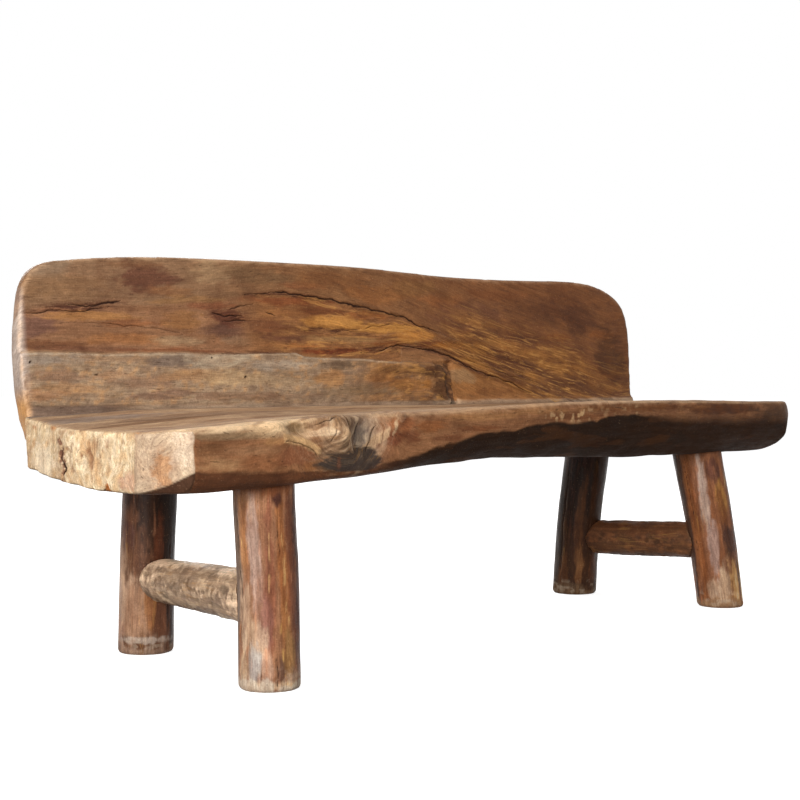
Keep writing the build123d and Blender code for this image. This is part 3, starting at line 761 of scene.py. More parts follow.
    # The rear, with dark rings round the pegs, and the top edge
    paint.lay(rear, (126, 90, 62))
    hewn = layers(plane, 71, (1, (300, 26, EVEN)), (0.6, (120, 10, EVEN)))
    paint.two_tone(0.6 * rear, hewn, -0.1, 1.1, (158, 120, 84), (88, 58, 39))
    paint.lay(0.5 * rear * step(0.0, 0.8, fbm(plane, (180, 80, 80), 75, 3)), (116, 98, 82))
    heads = [np.hypot(points[:, 0] - x, points[:, 2] - PEG_HEIGHT) for x in PEG_PLACES]
    rings = np.min(heads, axis=0)
    paint.lay(0.75 * rear * step(16, 12, rings), (50, 32, 22))
    top = step(0.4, 0.8, normals @ BED_UP)
    paint.lay(0.5 * top * step(100, -400, u), (162, 126, 92))

    # Grain: rings about a pith below and in front of the slab, led round the pocket
    led = np.where(facing > -0.2, level, v)
    across = np.hypot(led - PITH_LEVEL + 6 * fbm(plane, (140, 70, 70), 51, 3), w - PITH_W)
    grain = columns(across, u, np.arctan2(w - PITH_W, led - PITH_LEVEL) * 260) / 1000
    fleck = front * np.clip(0.75 * pocket * step(-300, -60, u) + 1.1 * golden, 0, 1)
    fleck = np.clip(fleck + 0.45 * below * step(-20, 160, u) + 0.12 * below, 0, 1)
    dry = np.clip(0.75 * below + 0.5 * pocket * front + 0.6 * rear, 0, 1)
    calm = 1 - 0.8 * shown * bell(v - lower, 9) - 0.9 * step(60, 30, np.hypot(u - BAND_END, v - 50))
    wear = wood.convexity(6) * np.clip(calm, 0, 1)
    wood.finish("back_wood", back_wood, paint, grain,
                crack=crack, tear=tear, fleck=fleck, dry=dry, wear=wear)


# ---------------------------------------------------------------- the seat slab
KNOT = (-548, 410)  # middle of the pale knot in the front edge, along and up
PITH_Y, PITH_Z = -40, 300  # the log's middle, round which the growth rings run
CHIP_Y, CHIP_TOP = -104, 322  # a chip out of the left end's lower edge
CORNER = -851.5  # the left end's hewn facet stops here, and the front face starts
FISSURE = [(70, 400), (56, 386), (62, 370), (44, 358), (56, 342), (60, 326)]
SEAT_TOP_CRACKS = [
    ([(-870, -60), (-760, -50), (-640, -62), (-520, -58)], 1.8, 2.4),
    ([(-840, 90), (-700, 84), (-590, 96)], 1.6, 2.2),
    ([(885, -80), (760, -72), (640, -80)], 2.2, 3.0),
    ([(-300, 40), (-120, 46), (40, 38), (200, 44)], 1.4, 1.6),
    ([(380, -160), (520, -166), (640, -160)], 1.4, 1.6),
]
FRONT_CRACKS = [
    ([(-668, 404), (-640, 401), (-618, 393), (-600, 380)], 2.4, 2.0),
    ([(-524, 436), (-508, 420), (-514, 400), (-532, 386)], 3.2, 4.0),
    ([(-596, 428), (-575, 436), (-545, 437)], 1.8, 1.8),
    ([(-574, 400), (-566, 412), (-562, 424)], 1.6, 1.6),
    ([(-446, 424), (-458, 402), (-478, 380)], 2.2, 2.4),
    ([(-480, 430), (-484, 410), (-494, 392)], 1.6, 2.0),
]
# Stains: centre, half sizes, colour and weight. First on the top
TOP_STAINS = [
    (-720, 130, 180, 40, 144, 128, 118, 0.8), (-560, 40, 220, 34, 138, 110, 90, 0.7),
    (-700, -10, 160, 30, 126, 92, 68, 0.7), (-700, -90, 180, 40, 176, 142, 110, 0.7),
    (-560, -150, 160, 24, 134, 100, 74, 0.7), (-330, 100, 220, 40, 168, 132, 100, 0.7),
    (-260, -20, 200, 30, 124, 92, 68, 0.7), (-240, -100, 240, 40, 186, 150, 112, 0.7),
    (60, 30, 280, 46, 140, 102, 70, 0.7), (60, -90, 200, 26, 116, 80, 54, 0.7),
    (260, -150, 280, 40, 134, 92, 60, 0.7), (420, 60, 260, 50, 130, 96, 66, 0.7),
    (520, -70, 200, 30, 104, 72, 48, 0.7), (700, -40, 200, 80, 122, 84, 56, 0.7),
    (640, -210, 240, 34, 106, 70, 44, 0.7),
]
# On the front face, from left to right
FRONT_STAINS = [
    (-800, 418, 60, 8, 130, 103, 76, 0.9), (-740, 416, 90, 7, 136, 108, 80, 0.8),
    (-805, 372, 60, 12, 168, 128, 90, 0.7), (-820, 396, 30, 14, 120, 82, 54, 0.7),
    (-740, 392, 70, 9, 152, 110, 78, 0.7), (-700, 372, 80, 12, 142, 92, 60, 0.8),
    (-690, 404, 40, 8, 160, 116, 74, 0.6), (-640, 380, 44, 20, 132, 84, 58, 0.8),
    (-596, 362, 36, 9, 150, 100, 60, 0.6), (-400, 424, 36, 14, 148, 92, 58, 0.9),
    (-420, 404, 18, 16, 112, 64, 42, 0.9), (-385, 404, 30, 12, 98, 54, 34, 0.8),
    (-330, 420, 40, 12, 140, 86, 50, 0.8), (-290, 400, 40, 8, 110, 64, 40, 0.7),
    (-210, 436, 110, 10, 160, 114, 74, 0.8), (-200, 414, 60, 6, 120, 72, 44, 0.8),
    (-60, 444, 100, 8, 150, 106, 68, 0.8), (60, 430, 80, 6, 110, 68, 42, 0.8),
    (120, 446, 70, 6, 140, 98, 62, 0.7), (280, 446, 160, 12, 106, 64, 35, 0.9),
    (560, 440, 180, 16, 78, 42, 20, 0.9), (480, 444, 40, 6, 120, 78, 48, 0.7),
    (800, 430, 120, 40, 84, 57, 38, 0.9), (760, 444, 50, 6, 108, 72, 46, 0.6),
]


def dress_seat():
    wood = Wood("seat_slab", "seat", SEAT_VOXEL)
    wood.smooth(3)
    # The scoops beside the knot run out softly
    x, y, z = wood.points.T
    soft = blob(x, z, (-560, 425), (150, 60)) * step(-180, -240, y)
    wood.smooth(26, soft)

    for reach in (14, 7):
        x, y, z = wood.points.T
        normals = wood.normals()
        near = near_lines(x, y, SEAT_TOP_CRACKS, 0.4 * reach) & (normals[:, 2] > 0.7)
        near |= near_lines(x, z, FRONT_CRACKS, reach) & (y < -240) & (z > 360)
        near |= (polyline_distance(y, z, FISSURE)[0] < 4 + reach) & (x < -780) & (z > 322)
        near |= (np.hypot(y - CHIP_Y, z - CHIP_TOP - 12) < 10 + reach) & (x < -780)
        near |= (np.hypot(x - CORNER, y + 306) < 5 + 0.6 * reach) & (z > 322)
        if reach > 10:
            near |= (x < -780) & (normals[:, 0] < -0.4)
            near |= (np.hypot(x + 545, (z - 410) * 1.3) < 140) & (y < -235) & (z > 345)
            near |= (np.abs(z - 410) < 30) & (x > -300) & (x < 640) & (y < -285)
        wood.refine(near)

    x, y, z = wood.points.T
    normals = wood.normals()
    place = wood.points.copy()
    nx, ny, nz = normals.T
    wander = noise(place, 60, 3)
    fore = step(-225, -250, y)
    top = step(0.35, 0.75, nz)
    under = step(0.15, 0.6, -nz)
    # The crisp edge between the end's facet and the front
    ended = step(0.5, 0.8, -nx) * (x < -700)
    facet = step(0.12, 0.3, -nx) * (y < -196) * step(CORNER + 1, CORNER - 2, x + 1.5 * noise(place, 16, 4))
    facet *= 1 - top
    facet *= step(-200, -214, y + 3 * noise(place, 14, 5))
    end = np.maximum(ended * (x < CORNER + 14) * (1 - (y < -290) * (x > CORNER)), facet)
    end = np.maximum(end, ended * (y > -200))
    burl = end * (1 - facet)
    front = step(0.2, 0.6, -ny) * (1 - end)
    right_end = step(0.5, 0.85, nx) * (x > 700)

    # Hewn waves: long and low on top, deeper under the front edge and below
    height = top * layers(place, 201, (0.9, (150, 70, EVEN)), (0.5, (54, 22, EVEN)))
    height += top * 0.25 * noise(place, (30, 8, EVEN), 209)
    height += front * layers(place, 203, (0.9, (90, 60, 36)), (0.5, (30, 30, 12)))
    hewn = (under + step(0.1, 0.5, -ny) * step(-0.1, -0.5, nz)) * step(-420, -200, x)
    waves = layers(place, 205, (2.8, (110, 70, 40)), (1.4, (44, 40, 18)))
    height += np.clip(hewn, 0, 1) * waves
    height += under * layers(place, 207, (1.8, (160, 80, EVEN)), (0.8, (50, 34, EVEN)))

    # The burl at the left end is pitted; a fissure runs down it and a chip is out below
    pits = layers(place, 211, (1, 9), (0.5, 4.5))
    pit_zone = 0.45 + 0.55 * blob(y, z, (-40, 390), (80, 50))
    height -= burl * 1.6 * step(0.35, 0.9, pits) * pit_zone
    height += burl * layers(place, 213, (1.3, 34), (0.7, 14))
    height += facet * 0.35 * noise(columns(x, y, z + 1.2 * y), (60, 60, 6), 215)
    fissure = groove(y, z, FISSURE, 5, 221, 5.0) * burl
    height -= 4 * np.sqrt(fissure)
    chip = step(17, 9, np.abs(y - CHIP_Y + 3 * wander) + 0.75 * np.maximum(z - CHIP_TOP, 0))
    chip *= step(0.2, 0.6, -nx) * (x < -700)
    height -= 7 * chip

    # The knot: a pale lump with fibres that curl round it and a hollow to its right
    off_x, off_z = 0.85 * (x - KNOT[0]), z - KNOT[1]
    turn = np.arctan2(off_z, off_x)
    bent = np.hypot(0.9 * (x + 592), 1.1 * (z - 446)) + 11 * noise(place, 26, 231) + 4 * noise(place, 11, 232)
    curled = columns(bent, 24 * turn, 0 * x)
    curls = layers(curled, 233, (1, (6.5, 34, 1)), (0.5, (3.2, 16, 1)))
    gnarl = bell(np.hypot(0.72 * (x + 530), z - 412), 52) * fore
    lump = blob(x, z, (KNOT[0] + 4, KNOT[1] + 2), (26, 21)) * fore
    hollow = blob(x, z, (-476, 408), (27, 30)) * fore
    height += 13 * lump - 5.5 * hollow + gnarl * 1.2 * curls
    ridge = stripe(x, z, [(-668, 408), (-625, 402), (-598, 388)], 9) * fore
    height += 3.0 * ridge
    left_hollow = blob(x, z, (-628, 424), (34, 14)) * fore
    height -= 3.0 * left_hollow
    swoosh = stripe(x, z, [(-400, 440), (-428, 414), (-460, 392), (-494, 372)], 7) * fore
    height += 3.5 * swoosh
    crack = 0.7 * np.minimum(fissure * 1.4, 1)
    face = fore * step(0.15, 0.4, -ny)
    height, crack = split(x, z, FRONT_CRACKS, face, height, crack, 300, 0.7, 2.5)
    height, crack = split(x, y, SEAT_TOP_CRACKS, top, height, crack, 360)
    wood.push(normals, height)

    # Colours
    warp = 18 * fbm(place, (120, 80, 60), 251, 3)
    paint = Paint(place, (92, 58, 38), (60, 24, 15), 250)
    paint.lay(under, (62, 40, 27))
    paint.lay(top, (182, 150, 120))
    paint.colour_patches(top, x, y, TOP_STAINS)
    paint.lay(0.5 * top * step(150, 520, x), (104, 68, 42))
    lengthwise = layers(place, 272, (1, (260, 9, EVEN)), (0.7, (120, 5.5, EVEN)))
    paint.two_tone(0.4 * top, lengthwise, 0.1, 1.0, (190, 156, 122), (100, 72, 50))
    rear_line = BED_ORIGIN[1] + x * math.tan(SKEW)
    paint.lay(top * 0.5 * step(-60, -8, y - rear_line + warp), (112, 98, 88))
    paint.lay(top * 0.7 * step(-34, -8, y - rear_line + 0.5 * warp) * step(-520, -640, x), (98, 94, 94))
    paint.lay(top * 0.6 * step(-9, -3, y - rear_line + 0.1 * warp) * step(-640, -500, x), (176, 158, 136))
    rim = top * step(-240, -285, y + 0.5 * warp)
    paint.lay(0.6 * rim * step(400, -100, x), (168, 128, 92))

    # Front face, from left to right
    side = front * (1 - top)
    paint.lay(side, (136, 93, 63))
    paint.colour_patches(side, x, z, FRONT_STAINS)
    chips = step(0.3, 0.5, layers(place, 261, (1, (8, 9, 7)), (0.4, (22, 30, 30))))
    chips *= blob(x, z, (60, 434), (90, 13)) + blob(x, z, (236, 440), (20, 14))
    paint.lay(side * 0.8 * np.clip(1.3 * chips, 0, 1), (208, 172, 128))

    # The undercut and the underside beyond it. The undercut is dark wood, painted darker still as shade under
    # the front edge
    edge_line = np.interp(x, [-841, -719, -586, -469, -364, -321, -235, -153, -83, 3, 126, 168, 346, 609],
                          [363, 353, 352, 358, 370, 386, 401, 408, 412, 421, 421, 430, 424, 412])
    ragged = layers(place, 265, (4, (60, EVEN, 30)), (2, (16, EVEN, 10)))
    soft = 3 + 17 * step(240, 460, x)
    dark = step(soft, -soft, z - edge_line + ragged) * step(-0.2, 0.25, -ny) * (1 - end)
    paint.lay(dark, (33, 18, 9))
    paint.lay(0.8 * dark * step(200, 400, x), (42, 23, 11))
    paint.lay(0.85 * dark * step(-380, -470, x), (82, 49, 31))
    lumps = step(-0.5, 0.5, noise(place, (90, 60, 30), 267))
    paint.patch(0.8 * dark * step(-300, -700, x), lumps, (92, 56, 36))
    paint.patch(0.7 * dark, step(0.1, 0.6, fbm(place, (110, 60, 22), 268, 3)), (64, 38, 20))
    lumps = step(0.2, 0.7, fbm(place, (60, 60, 30), 269, 3))
    paint.patch(0.6 * dark * step(-500, -400, x), lumps, (28, 16, 9))

    # The pale rounded lip at the left, widening in a fan of fibres to the knot. Its paleness is partly the
    # wood's and partly a painted highlight where the lip catches the light
    lip_z = np.interp(x, [-860, -760, -600, -500, -400, -250], [430, 434, 441, 443, 446, 450])
    lip = step(-13, -6, z - lip_z) * step(-262, -285, y) * step(-380, -620, x) * (1 - end)
    paint.lay(0.9 * lip, (240, 208, 168))
    near_lip = top * step(-205, -268, y + 1.2 * warp - 0.12 * (x + 700)) * step(-400, -600, x)
    paint.lay(0.85 * near_lip, (224, 190, 150))
    slope_pale = stripe(x, z, [(-740, 432), (-660, 424), (-600, 430)], 11) * fore
    paint.lay(0.85 * slope_pale * (1 - end), (232, 196, 152))
    fan = noise(columns(x, y, z - 0.3 * x + 0.25 * y), (70, 400, 5), 270)
    fan_zone = np.clip(near_lip + lip + 1.2 * slope_pale, 0, 1) * (1 - end)
    paint.lay(0.6 * fan_zone * step(0.05, 0.6, fan), (146, 108, 72))
    paint.lay(0.5 * fan_zone * step(-0.05, -0.6, fan), (226, 196, 156))
    paint.patch(0.85 * fore * (1 - end), left_hollow, (116, 88, 58))
    paint.patch(0.9 * fore * (1 - end), ridge, (198, 158, 112))
    paint.patch(0.9 * fore, np.clip(1.5 * gnarl, 0, 1), (154, 122, 94))
    spotted = step(-0.5, 0.4, layers(place, 235, (1, (13, 13, 11)), (0.5, (6, 6, 5))))
    paint.lay(np.clip(1.2 * lump, 0, 1) * spotted, (224, 188, 148))
    paint.lay(0.8 * np.clip(1.3 * hollow, 0, 1), (136, 124, 114))
    shredded = np.clip(1.5 * gnarl, 0, 1) * step(-0.7, 0.1, noise(place, (16, 16, 13), 237))
    paint.lay(0.65 * shredded * step(0.1, 0.6, curls), (222, 194, 160))
    paint.lay(0.6 * shredded * step(-0.1, -0.6, curls), (108, 82, 62))
    paint.patch(0.9 * fore, swoosh * step(-520, -480, x) * step(-0.7, 0.1, curls), (184, 152, 118))
    patch = blob(x, z, (-528, 364), (62, 17)) + blob(x, z, (-482, 374), (22, 14))
    patch = np.clip(1.3 * patch, 0, 1) * step(344, 350, z + 3 * wander) * step(-0.3, 0.1, -ny) * fore
    paint.patch(0.95, patch, (50, 43, 41))
    paint.patch(0.7, patch * blob(x, z, (-552, 366), (5, 12)), (104, 66, 50))

    # Left end: pale burl, then the hewn facet, with a rubbed corner
    paint.lay(burl, (216, 190, 154))
    swirled = place + 18 * columns(*[noise(place, 34, seed) for seed in (276, 277, 278)])
    figure = layers(swirled, 279, (1, 19), (0.4, 8))
    paint.lay(0.45 * burl * step(0.2, 0.8, figure), (202, 156, 108))
    paint.lay(0.4 * burl * step(-0.3, -0.9, figure), (188, 142, 98))
    paint.lay(0.55 * burl * step(0.2, 0.04, np.abs(figure)), (240, 220, 190))
    browned = fbm(place, 26, 281, 3) + 0.5 * blob(y, z, (-50, 390), (60, 40)) - 0.15
    paint.lay(0.6 * burl * step(0.15, 0.6, browned), (184, 138, 94))
    paint.lay(0.7 * burl * step(0.3, 0.8, pits) * pit_zone, (128, 80, 50))
    paint.patch(0.7 * burl, blob(y, z, (150, 360), (60, 40)), (234, 214, 186))
    paint.patch(0.6 * burl, blob(y, z, (-190, 342), (40, 16)), (188, 142, 120))
    fissured = stripe(y + 6 * wander, z, FISSURE, 9)
    paint.patch(0.85 * burl, fissured * step(-0.6, 0.3, pits), (134, 92, 74))
    line = step(7, 0, np.abs(z - 419 - 2 * wander)) * step(0.1, 0.6, noise(place, 26, 283))
    paint.lay(0.8 * burl * line, (170, 108, 58))
    seam = end * bell(y + 216 + 4 * wander, 5) * step(372, 384, z)
    paint.lay(0.7 * seam, (190, 116, 54))
    paint.lay(facet, (196, 172, 145))
    across = (x + 893) / 43
    stripes = noise(columns(x, y, z + 1.3 * y), (40, 400, 4.5), 285)
    paint.lay(0.55 * facet * step(0.0, 0.6, stripes), (168, 144, 122))
    paint.patch(0.7 * facet, blob(across, z, (0.42, 366), (0.16, 30)), (184, 134, 90))
    paint.patch(0.8 * facet, blob(across, z, (0.78, 404), (0.22, 44)), (212, 190, 166))
    paint.lay(0.6 * facet * step(0.86, 0.97, across), (214, 192, 168))
    # The undercut runs round the facet's lower corner: dark wood with painted shade, as above
    turn_line = np.interp(y, [-306, -290, -267, -240, -206], [362, 354, 343, 334, 326])
    turned = step(0.0, 0.1, facet) * step(1.5, -1.5, z - turn_line + 1.5 * wander)
    paint.lay(turned, (68, 45, 32))
    dark = np.maximum(dark, turned)
    paint.patch(1.0, chip, (170, 104, 54))

    # The right end shows the log's rings
    ring = np.hypot(y - PITH_Y + 0.4 * warp, z - PITH_Z + 0.4 * warp)
    rings = noise(columns(ring, 0 * x, 0.2 * z), (10, 1, 60), 287) + 0.4 * noise(place, 16, 288)
    paint.lay(0.8 * right_end, (112, 80, 54))
    paint.two_tone(0.5 * right_end, rings, 0.1, 0.9, (148, 112, 78), (76, 50, 33))

    across = np.hypot(y - PITH_Y + 0.5 * warp, z - PITH_Z + 0.5 * warp)
    grain = columns(across, x, np.arctan2(z - PITH_Z, y - PITH_Y) * 200) / 1000
    # Short grain on the ends, led by the burl's swirls
    short = np.clip(end * (1 - turned) + right_end, 0, 1)[:, None]
    spread = swirled / 1000
    grain = grain * (1 - short) + columns(spread[:, 2] / 3, 6 * spread[:, 1], spread[:, 1]) * short
    curl = np.clip(1.4 * gnarl, 0, 1)
    grain[:, 0] = grain[:, 0] * (1 - curl) + curl * curled[:, 0] / 700
    fleck = np.clip(0.3 * chips * side + 0.3 * gnarl + 0.12 * top, 0, 1)
    tear = np.clip(0.25 * curl * step(0, -0.5, curls) + 0.6 * fissured * burl, 0, 1)
    dry = 0.7 * end + 0.4 * under + 0.35 * top + 0.5 * gnarl + 0.6 * hollow
    dry = np.clip(dry + 0.9 * dark * step(-500, -300, x), 0, 1)
    wear = wood.convexity(6) * (1 - 0.85 * dark) * (1 - 0.6 * step(150, 400, x))
    wood.finish("seat_wood", seat_wood, paint, grain,
                crack=crack, tear=tear, fleck=fleck, dry=dry, wear=wear)


# ---------------------------------------------------------------- legs and rails
# Bearing about a leg's own axis: 0 faces the camera, +90 is the right edge in the view
VIEW = np.array([0.7145, 0.6997])
RIGHT = np.array([0.6997, -0.7145])
LEG_ROUND, RAIL_ROUND = 50, 38  # radii at which the logs' surfaces are unrolled


def leg_coordinates(points, foot, shoulder):
    """Bearing in degrees and distance from the leg's axis."""
    foot, shoulder = np.array(foot, float), np.array(shoulder, float)
    share = points[:, 2:3] / shoulder[2]
    off = points[:, :2] - (foot[:2] + share * (shoulder[:2] - foot[:2]))
    return np.degrees(np.arctan2(off @ RIGHT, -(off @ VIEW))), np.hypot(*off.T)


def unroll(line):
    """A line of bearing and height, laid flat beside the unrolled leg."""
    return [(math.radians(bearing) * LEG_ROUND, height) for bearing, height in line]


def dress_leg(node, foot, shoulder, base, colour_patches, checks, streaks, foot_colour, seed):
    wood = Wood(node, node.replace("leg_", "log_"), LEG_VOXEL)
    wood.smooth(4)
    points = wood.points
    z = points[:, 2]
    normals = wood.normals()
    bearing, radius = leg_coordinates(points, foot, shoulder)
    outside = step(40, 44, radius) * step(shoulder[2] + 4, shoulder[2] - 4, z)
    arc = np.radians(bearing) * LEG_ROUND
    unrolled = columns(arc, z, np.zeros(len(z)))

    # Low flutes and lumps of a peeled log, and a worn foot
    height = layers(points, seed, (1.2, (50, 50, 170)), (0.6, (17, 17, 90)), (0.4, (9, 9, 30)))
    low = np.clip(1 - z / 8, 0, 1)
    height -= 5 * (1 - np.sqrt(np.clip(1 - low**2, 0, 1)))
    height -= 0.8 * step(40, 0, z) * step(0.2, 0.8, noise(points, (14, 14, 16), seed + 3))
    checks = [(unroll(line), half, depth) for line, half, depth in checks]
    height, crack = split(arc, z, checks, outside, height, np.zeros(len(z)), seed + 10, 0.7, 2.0, 5)
    level = np.array(normals)
    level[:, 2] *= step(3, 12, z)
    wood.push(level, height * outside)
    points[:, 2] = np.maximum(points[:, 2], 0)

    paint = Paint(points, base, (16, 16, 60), seed + 30)
    side_warp = 7 * noise(points, (40, 40, 90), seed + 34)
    paint.colour_patches_round(bearing + side_warp, z, colour_patches)
    broken = step(-0.3, 0.3, noise(unrolled, (5, 20, 9), seed + 41))
    for line, half, colour in streaks:
        paint.lay(0.8 * broken * groove(arc, z, unroll(line), half, seed + 43) ** 0.6, colour)
    threads = noise(unrolled, (3.2, 60, 9), seed + 44)
    threads *= step(-0.2, 0.3, noise(unrolled, (16, 50, 9), seed + 47))
    paint.lay(0.4 * step(0.45, 0.8, threads), np.minimum(1.45 * np.array(base), 215))
    worn = step(30, 4, z + 14 * noise(unrolled, (14, 14, 9), seed + 45))
    paint.patch(0.75, worn, foot_colour)
    dabs = noise(unrolled, (12, 8, 9), seed + 46) + 0.4 * noise(unrolled, (4, 4, 9), seed + 48)
    paint.lay(0.3 * step(0.1, 0.5, dabs) * band(z, 2, 34, 10), (196, 178, 156))
    # Grain: round the log, up the log, and from its middle outwards
    outwards = radius + 5 * noise(points, (70, 70, 260), seed + 50)
    grain = columns(np.abs(arc), z, outwards * 2.0) / 1000
    fleck = 0.3 * step(0.1, 0.7, noise(points, (34, 34, 100), seed + 51)) * outside
    tear = 0.45 * step(0.2, 0.8, noise(points, (26, 26, 110), seed + 53)) * outside
    dry = np.clip(0.6 * worn + 0.3 * step(0.1, 0.7, noise(points, (44, 44, 90), seed + 52)), 0, 1)
    wood.finish("leg_wood", leg_wood, paint, grain,
                crack=crack, tear=tear, fleck=fleck, dry=dry, wear=wood.convexity(5))


def dress_rail(node, rear, front, base, colour_patches, seed):
    wood = Wood(node, node.replace("stretcher_", "rail_"), RAIL_VOXEL)
    wood.smooth(4)
    rear, front = np.array(rear, float), np.array(front, float)
    length = np.linalg.norm(front - rear)
    axis = (front - rear) / length
    side = np.cross(axis, [0, 0, 1])
    side /= np.linalg.norm(side)
    up = np.cross(side, axis)
    points = wood.points
    local = points - rear
    along = local @ axis
    a, b = local @ side, local @ up
    radius, turn = np.hypot(a, b), np.degrees(np.arctan2(a, b))
    outside = step(26, 30, radius)
    normals = wood.normals()
    height = layers(points, seed, (1.5, 60), (0.9, 22), (0.45, 9))
    arc = np.radians(turn) * RAIL_ROUND
    unrolled = columns(arc, along, np.zeros(len(a)))
    nicks = noise(unrolled, (15, 24, 9), seed + 3) + 0.3 * noise(unrolled, (5, 9, 9), seed + 6)
    nicks = step(0.5, 0.8, nicks)
    height -= 1.4 * nicks
    wood.push(normals, height * outside)
    paint = Paint(points, base, 22, seed + 8)
    paint.colour_patches_round(turn, along, colour_patches)
    bark = noise(unrolled, (10, 20, 9), seed + 9) + 0.5 * noise(unrolled, (4, 7, 9), seed + 11)
    paint.lay(0.3 * step(0.2, 0.7, bark), np.minimum(1.2 * np.array(base), (238, 208, 174)))
    paint.lay(0.35 * step(-0.2, -0.8, bark), 0.76 * np.array(base))
    paint.lay(0.45 * nicks, 0.5 * np.array(base))
    grain = columns(np.abs(arc), along, radius * 2.0) / 1000
    fleck = 0.3 * step(-0.1, 0.5, noise(points, 40, seed + 12)) * outside
    tear = 0.2 * step(0.1, 0.6, noise(points, 30, seed + 13)) * outside
    wood.finish("rail_wood", rail_wood, paint, grain, crack=0.3 * nicks * outside,
                tear=tear, fleck=fleck, dry=np.full(len(a), 0.3), wear=wood.convexity(5))


def dress_pegs():
    """Whittled pegs; only their heads show, at the rear."""
    wood = Wood("back_pegs", "pegs", PEG_VOXEL)
    wood.smooth(2)
    normals = wood.normals()
    wood.push(normals, 0.25 * noise(wood.points, 7, 900))
    x, y, z = wood.points.T
    paint = Paint(wood.points, (166, 130, 92), (9, 30, 9), 903)
    paint.patch(0.8, step(-0.2, 0.6, noise(wood.points, 9, 905)), (132, 98, 66))
    grain = columns(x, y * 0.05, z) / 1000
    none = np.zeros(len(x))
    wood.finish("peg_wood", peg_wood, paint, grain,
                crack=none, tear=none, fleck=none, dry=none + 0.7, wear=wood.convexity(3))


dress_back()
dress_seat()
dress_pegs()

dress_leg(
    "leg_front_left", (-651, -245, 0), (-650, -228, 350), (142, 99, 72),
    [
        (-74, 200, 22, 190, 104, 88, 76, 0.9), (-42, 260, 14, 70, 166, 116, 76, 0.8),
        # (-20, 235) is a painted highlight down the leg
        (-46, 120, 16, 60, 184, 152, 126, 0.8), (-20, 235, 13, 110, 168, 140, 126, 0.85),
        (-10, 130, 12, 60, 150, 108, 86, 0.7), (8, 170, 12, 150, 128, 78, 58, 0.8),
        (36, 220, 16, 110, 152, 97, 57, 0.85), (40, 90, 14, 50, 154, 104, 64, 0.7),
        # (85, 160) is painted shade on the leg's right side
        (62, 180, 18, 160, 110, 62, 42, 0.8), (85, 160, 18, 170, 72, 42, 34, 0.9),
        (28, 314, 13, 16, 62, 34, 32, 0.9), (10, 332, 60, 18, 124, 74, 44, 0.8),
        (0, 110, 14, 40, 136, 90, 78, 0.8), (-30, 84, 28, 34, 196, 168, 140, 0.6),
        (-24, 42, 12, 34, 172, 166, 160, 0.8), (-50, 36, 16, 30, 186, 156, 126, 0.8),
        (2, 40, 12, 26, 182, 144, 120, 0.8), (24, 34, 12, 24, 98, 70, 56, 0.9),
        (46, 60, 14, 40, 150, 112, 70, 0.7), (10, 10, 60, 9, 206, 180, 146, 0.8),
        (150, 240, 40, 90, 126, 84, 56, 0.8), (180, 120, 50, 110, 92, 62, 44, 0.8),
    ],
    [
        ([(-62, 340), (-58, 250), (-55, 160), (-60, 70)], 2.2, 2.4),
        ([(32, 320), (30, 250), (33, 190)], 1.2, 1.4),
        ([(150, 330), (155, 200), (148, 90)], 2.2, 2.4),
        ([(18, 60), (22, 30), (18, 4)], 1.8, 1.8),
    ],
    [
        ([(10, 260), (12, 200), (8, 150)], 1.8, (206, 164, 112)),
        ([(36, 270), (42, 180), (40, 90)], 2.0, (214, 174, 116)),
        ([(26, 130), (34, 80), (30, 40), (38, 10)], 2.4, (212, 166, 98)),
        ([(48, 120), (42, 60), (50, 14)], 2.0, (212, 168, 108)),
        ([(-50, 290), (-44, 220)], 2.6, (214, 168, 110)),
    ],
    (200, 186, 168), 500,
)
dress_leg(
    "leg_rear_left", (-584, 181, 0), (-581, 168, 348), (94, 62, 45),
    [
        # (-60, 250), (-30, 300), (-40, 215), (10, 260) and (50, 250) are painted shadow of the seat on the
        # upper leg; (80, 170) is painted shade on its right side
        (-60, 250, 26, 90, 76, 50, 36, 0.8), (-30, 300, 30, 40, 56, 36, 27, 0.9),
        (-40, 215, 20, 30, 74, 46, 40, 0.8), (10, 260, 26, 100, 44, 26, 18, 0.9),
        (50, 250, 30, 140, 30, 16, 10, 0.95), (-55, 150, 26, 60, 148, 118, 96, 0.8),
        (-40, 90, 40, 60, 170, 138, 114, 0.8), (-5, 70, 34, 50, 162, 124, 98, 0.8),
        (-60, 40, 20, 30, 150, 112, 90, 0.8), (45, 70, 26, 60, 110, 70, 50, 0.8),
        (20, 100, 12, 50, 152, 100, 62, 0.8), (30, 200, 10, 60, 92, 50, 32, 0.7),
        (80, 170, 22, 170, 46, 28, 22, 0.9), (0, 27, 70, 7, 176, 160, 146, 0.7),
        (150, 240, 40, 90, 100, 66, 44, 0.8), (180, 120, 50, 110, 72, 48, 34, 0.8),
    ],
    [
        ([(-20, 320), (-24, 240), (-18, 180)], 1.6, 1.8),
        ([(160, 300), (165, 180), (158, 60)], 2.4, 2.4),
        ([(60, 200), (56, 120), (62, 40)], 1.4, 1.4),
    ],
    [([(-10, 90), (-6, 50), (-12, 20)], 2.0, (200, 148, 100))],
    (150, 122, 104), 600,
)
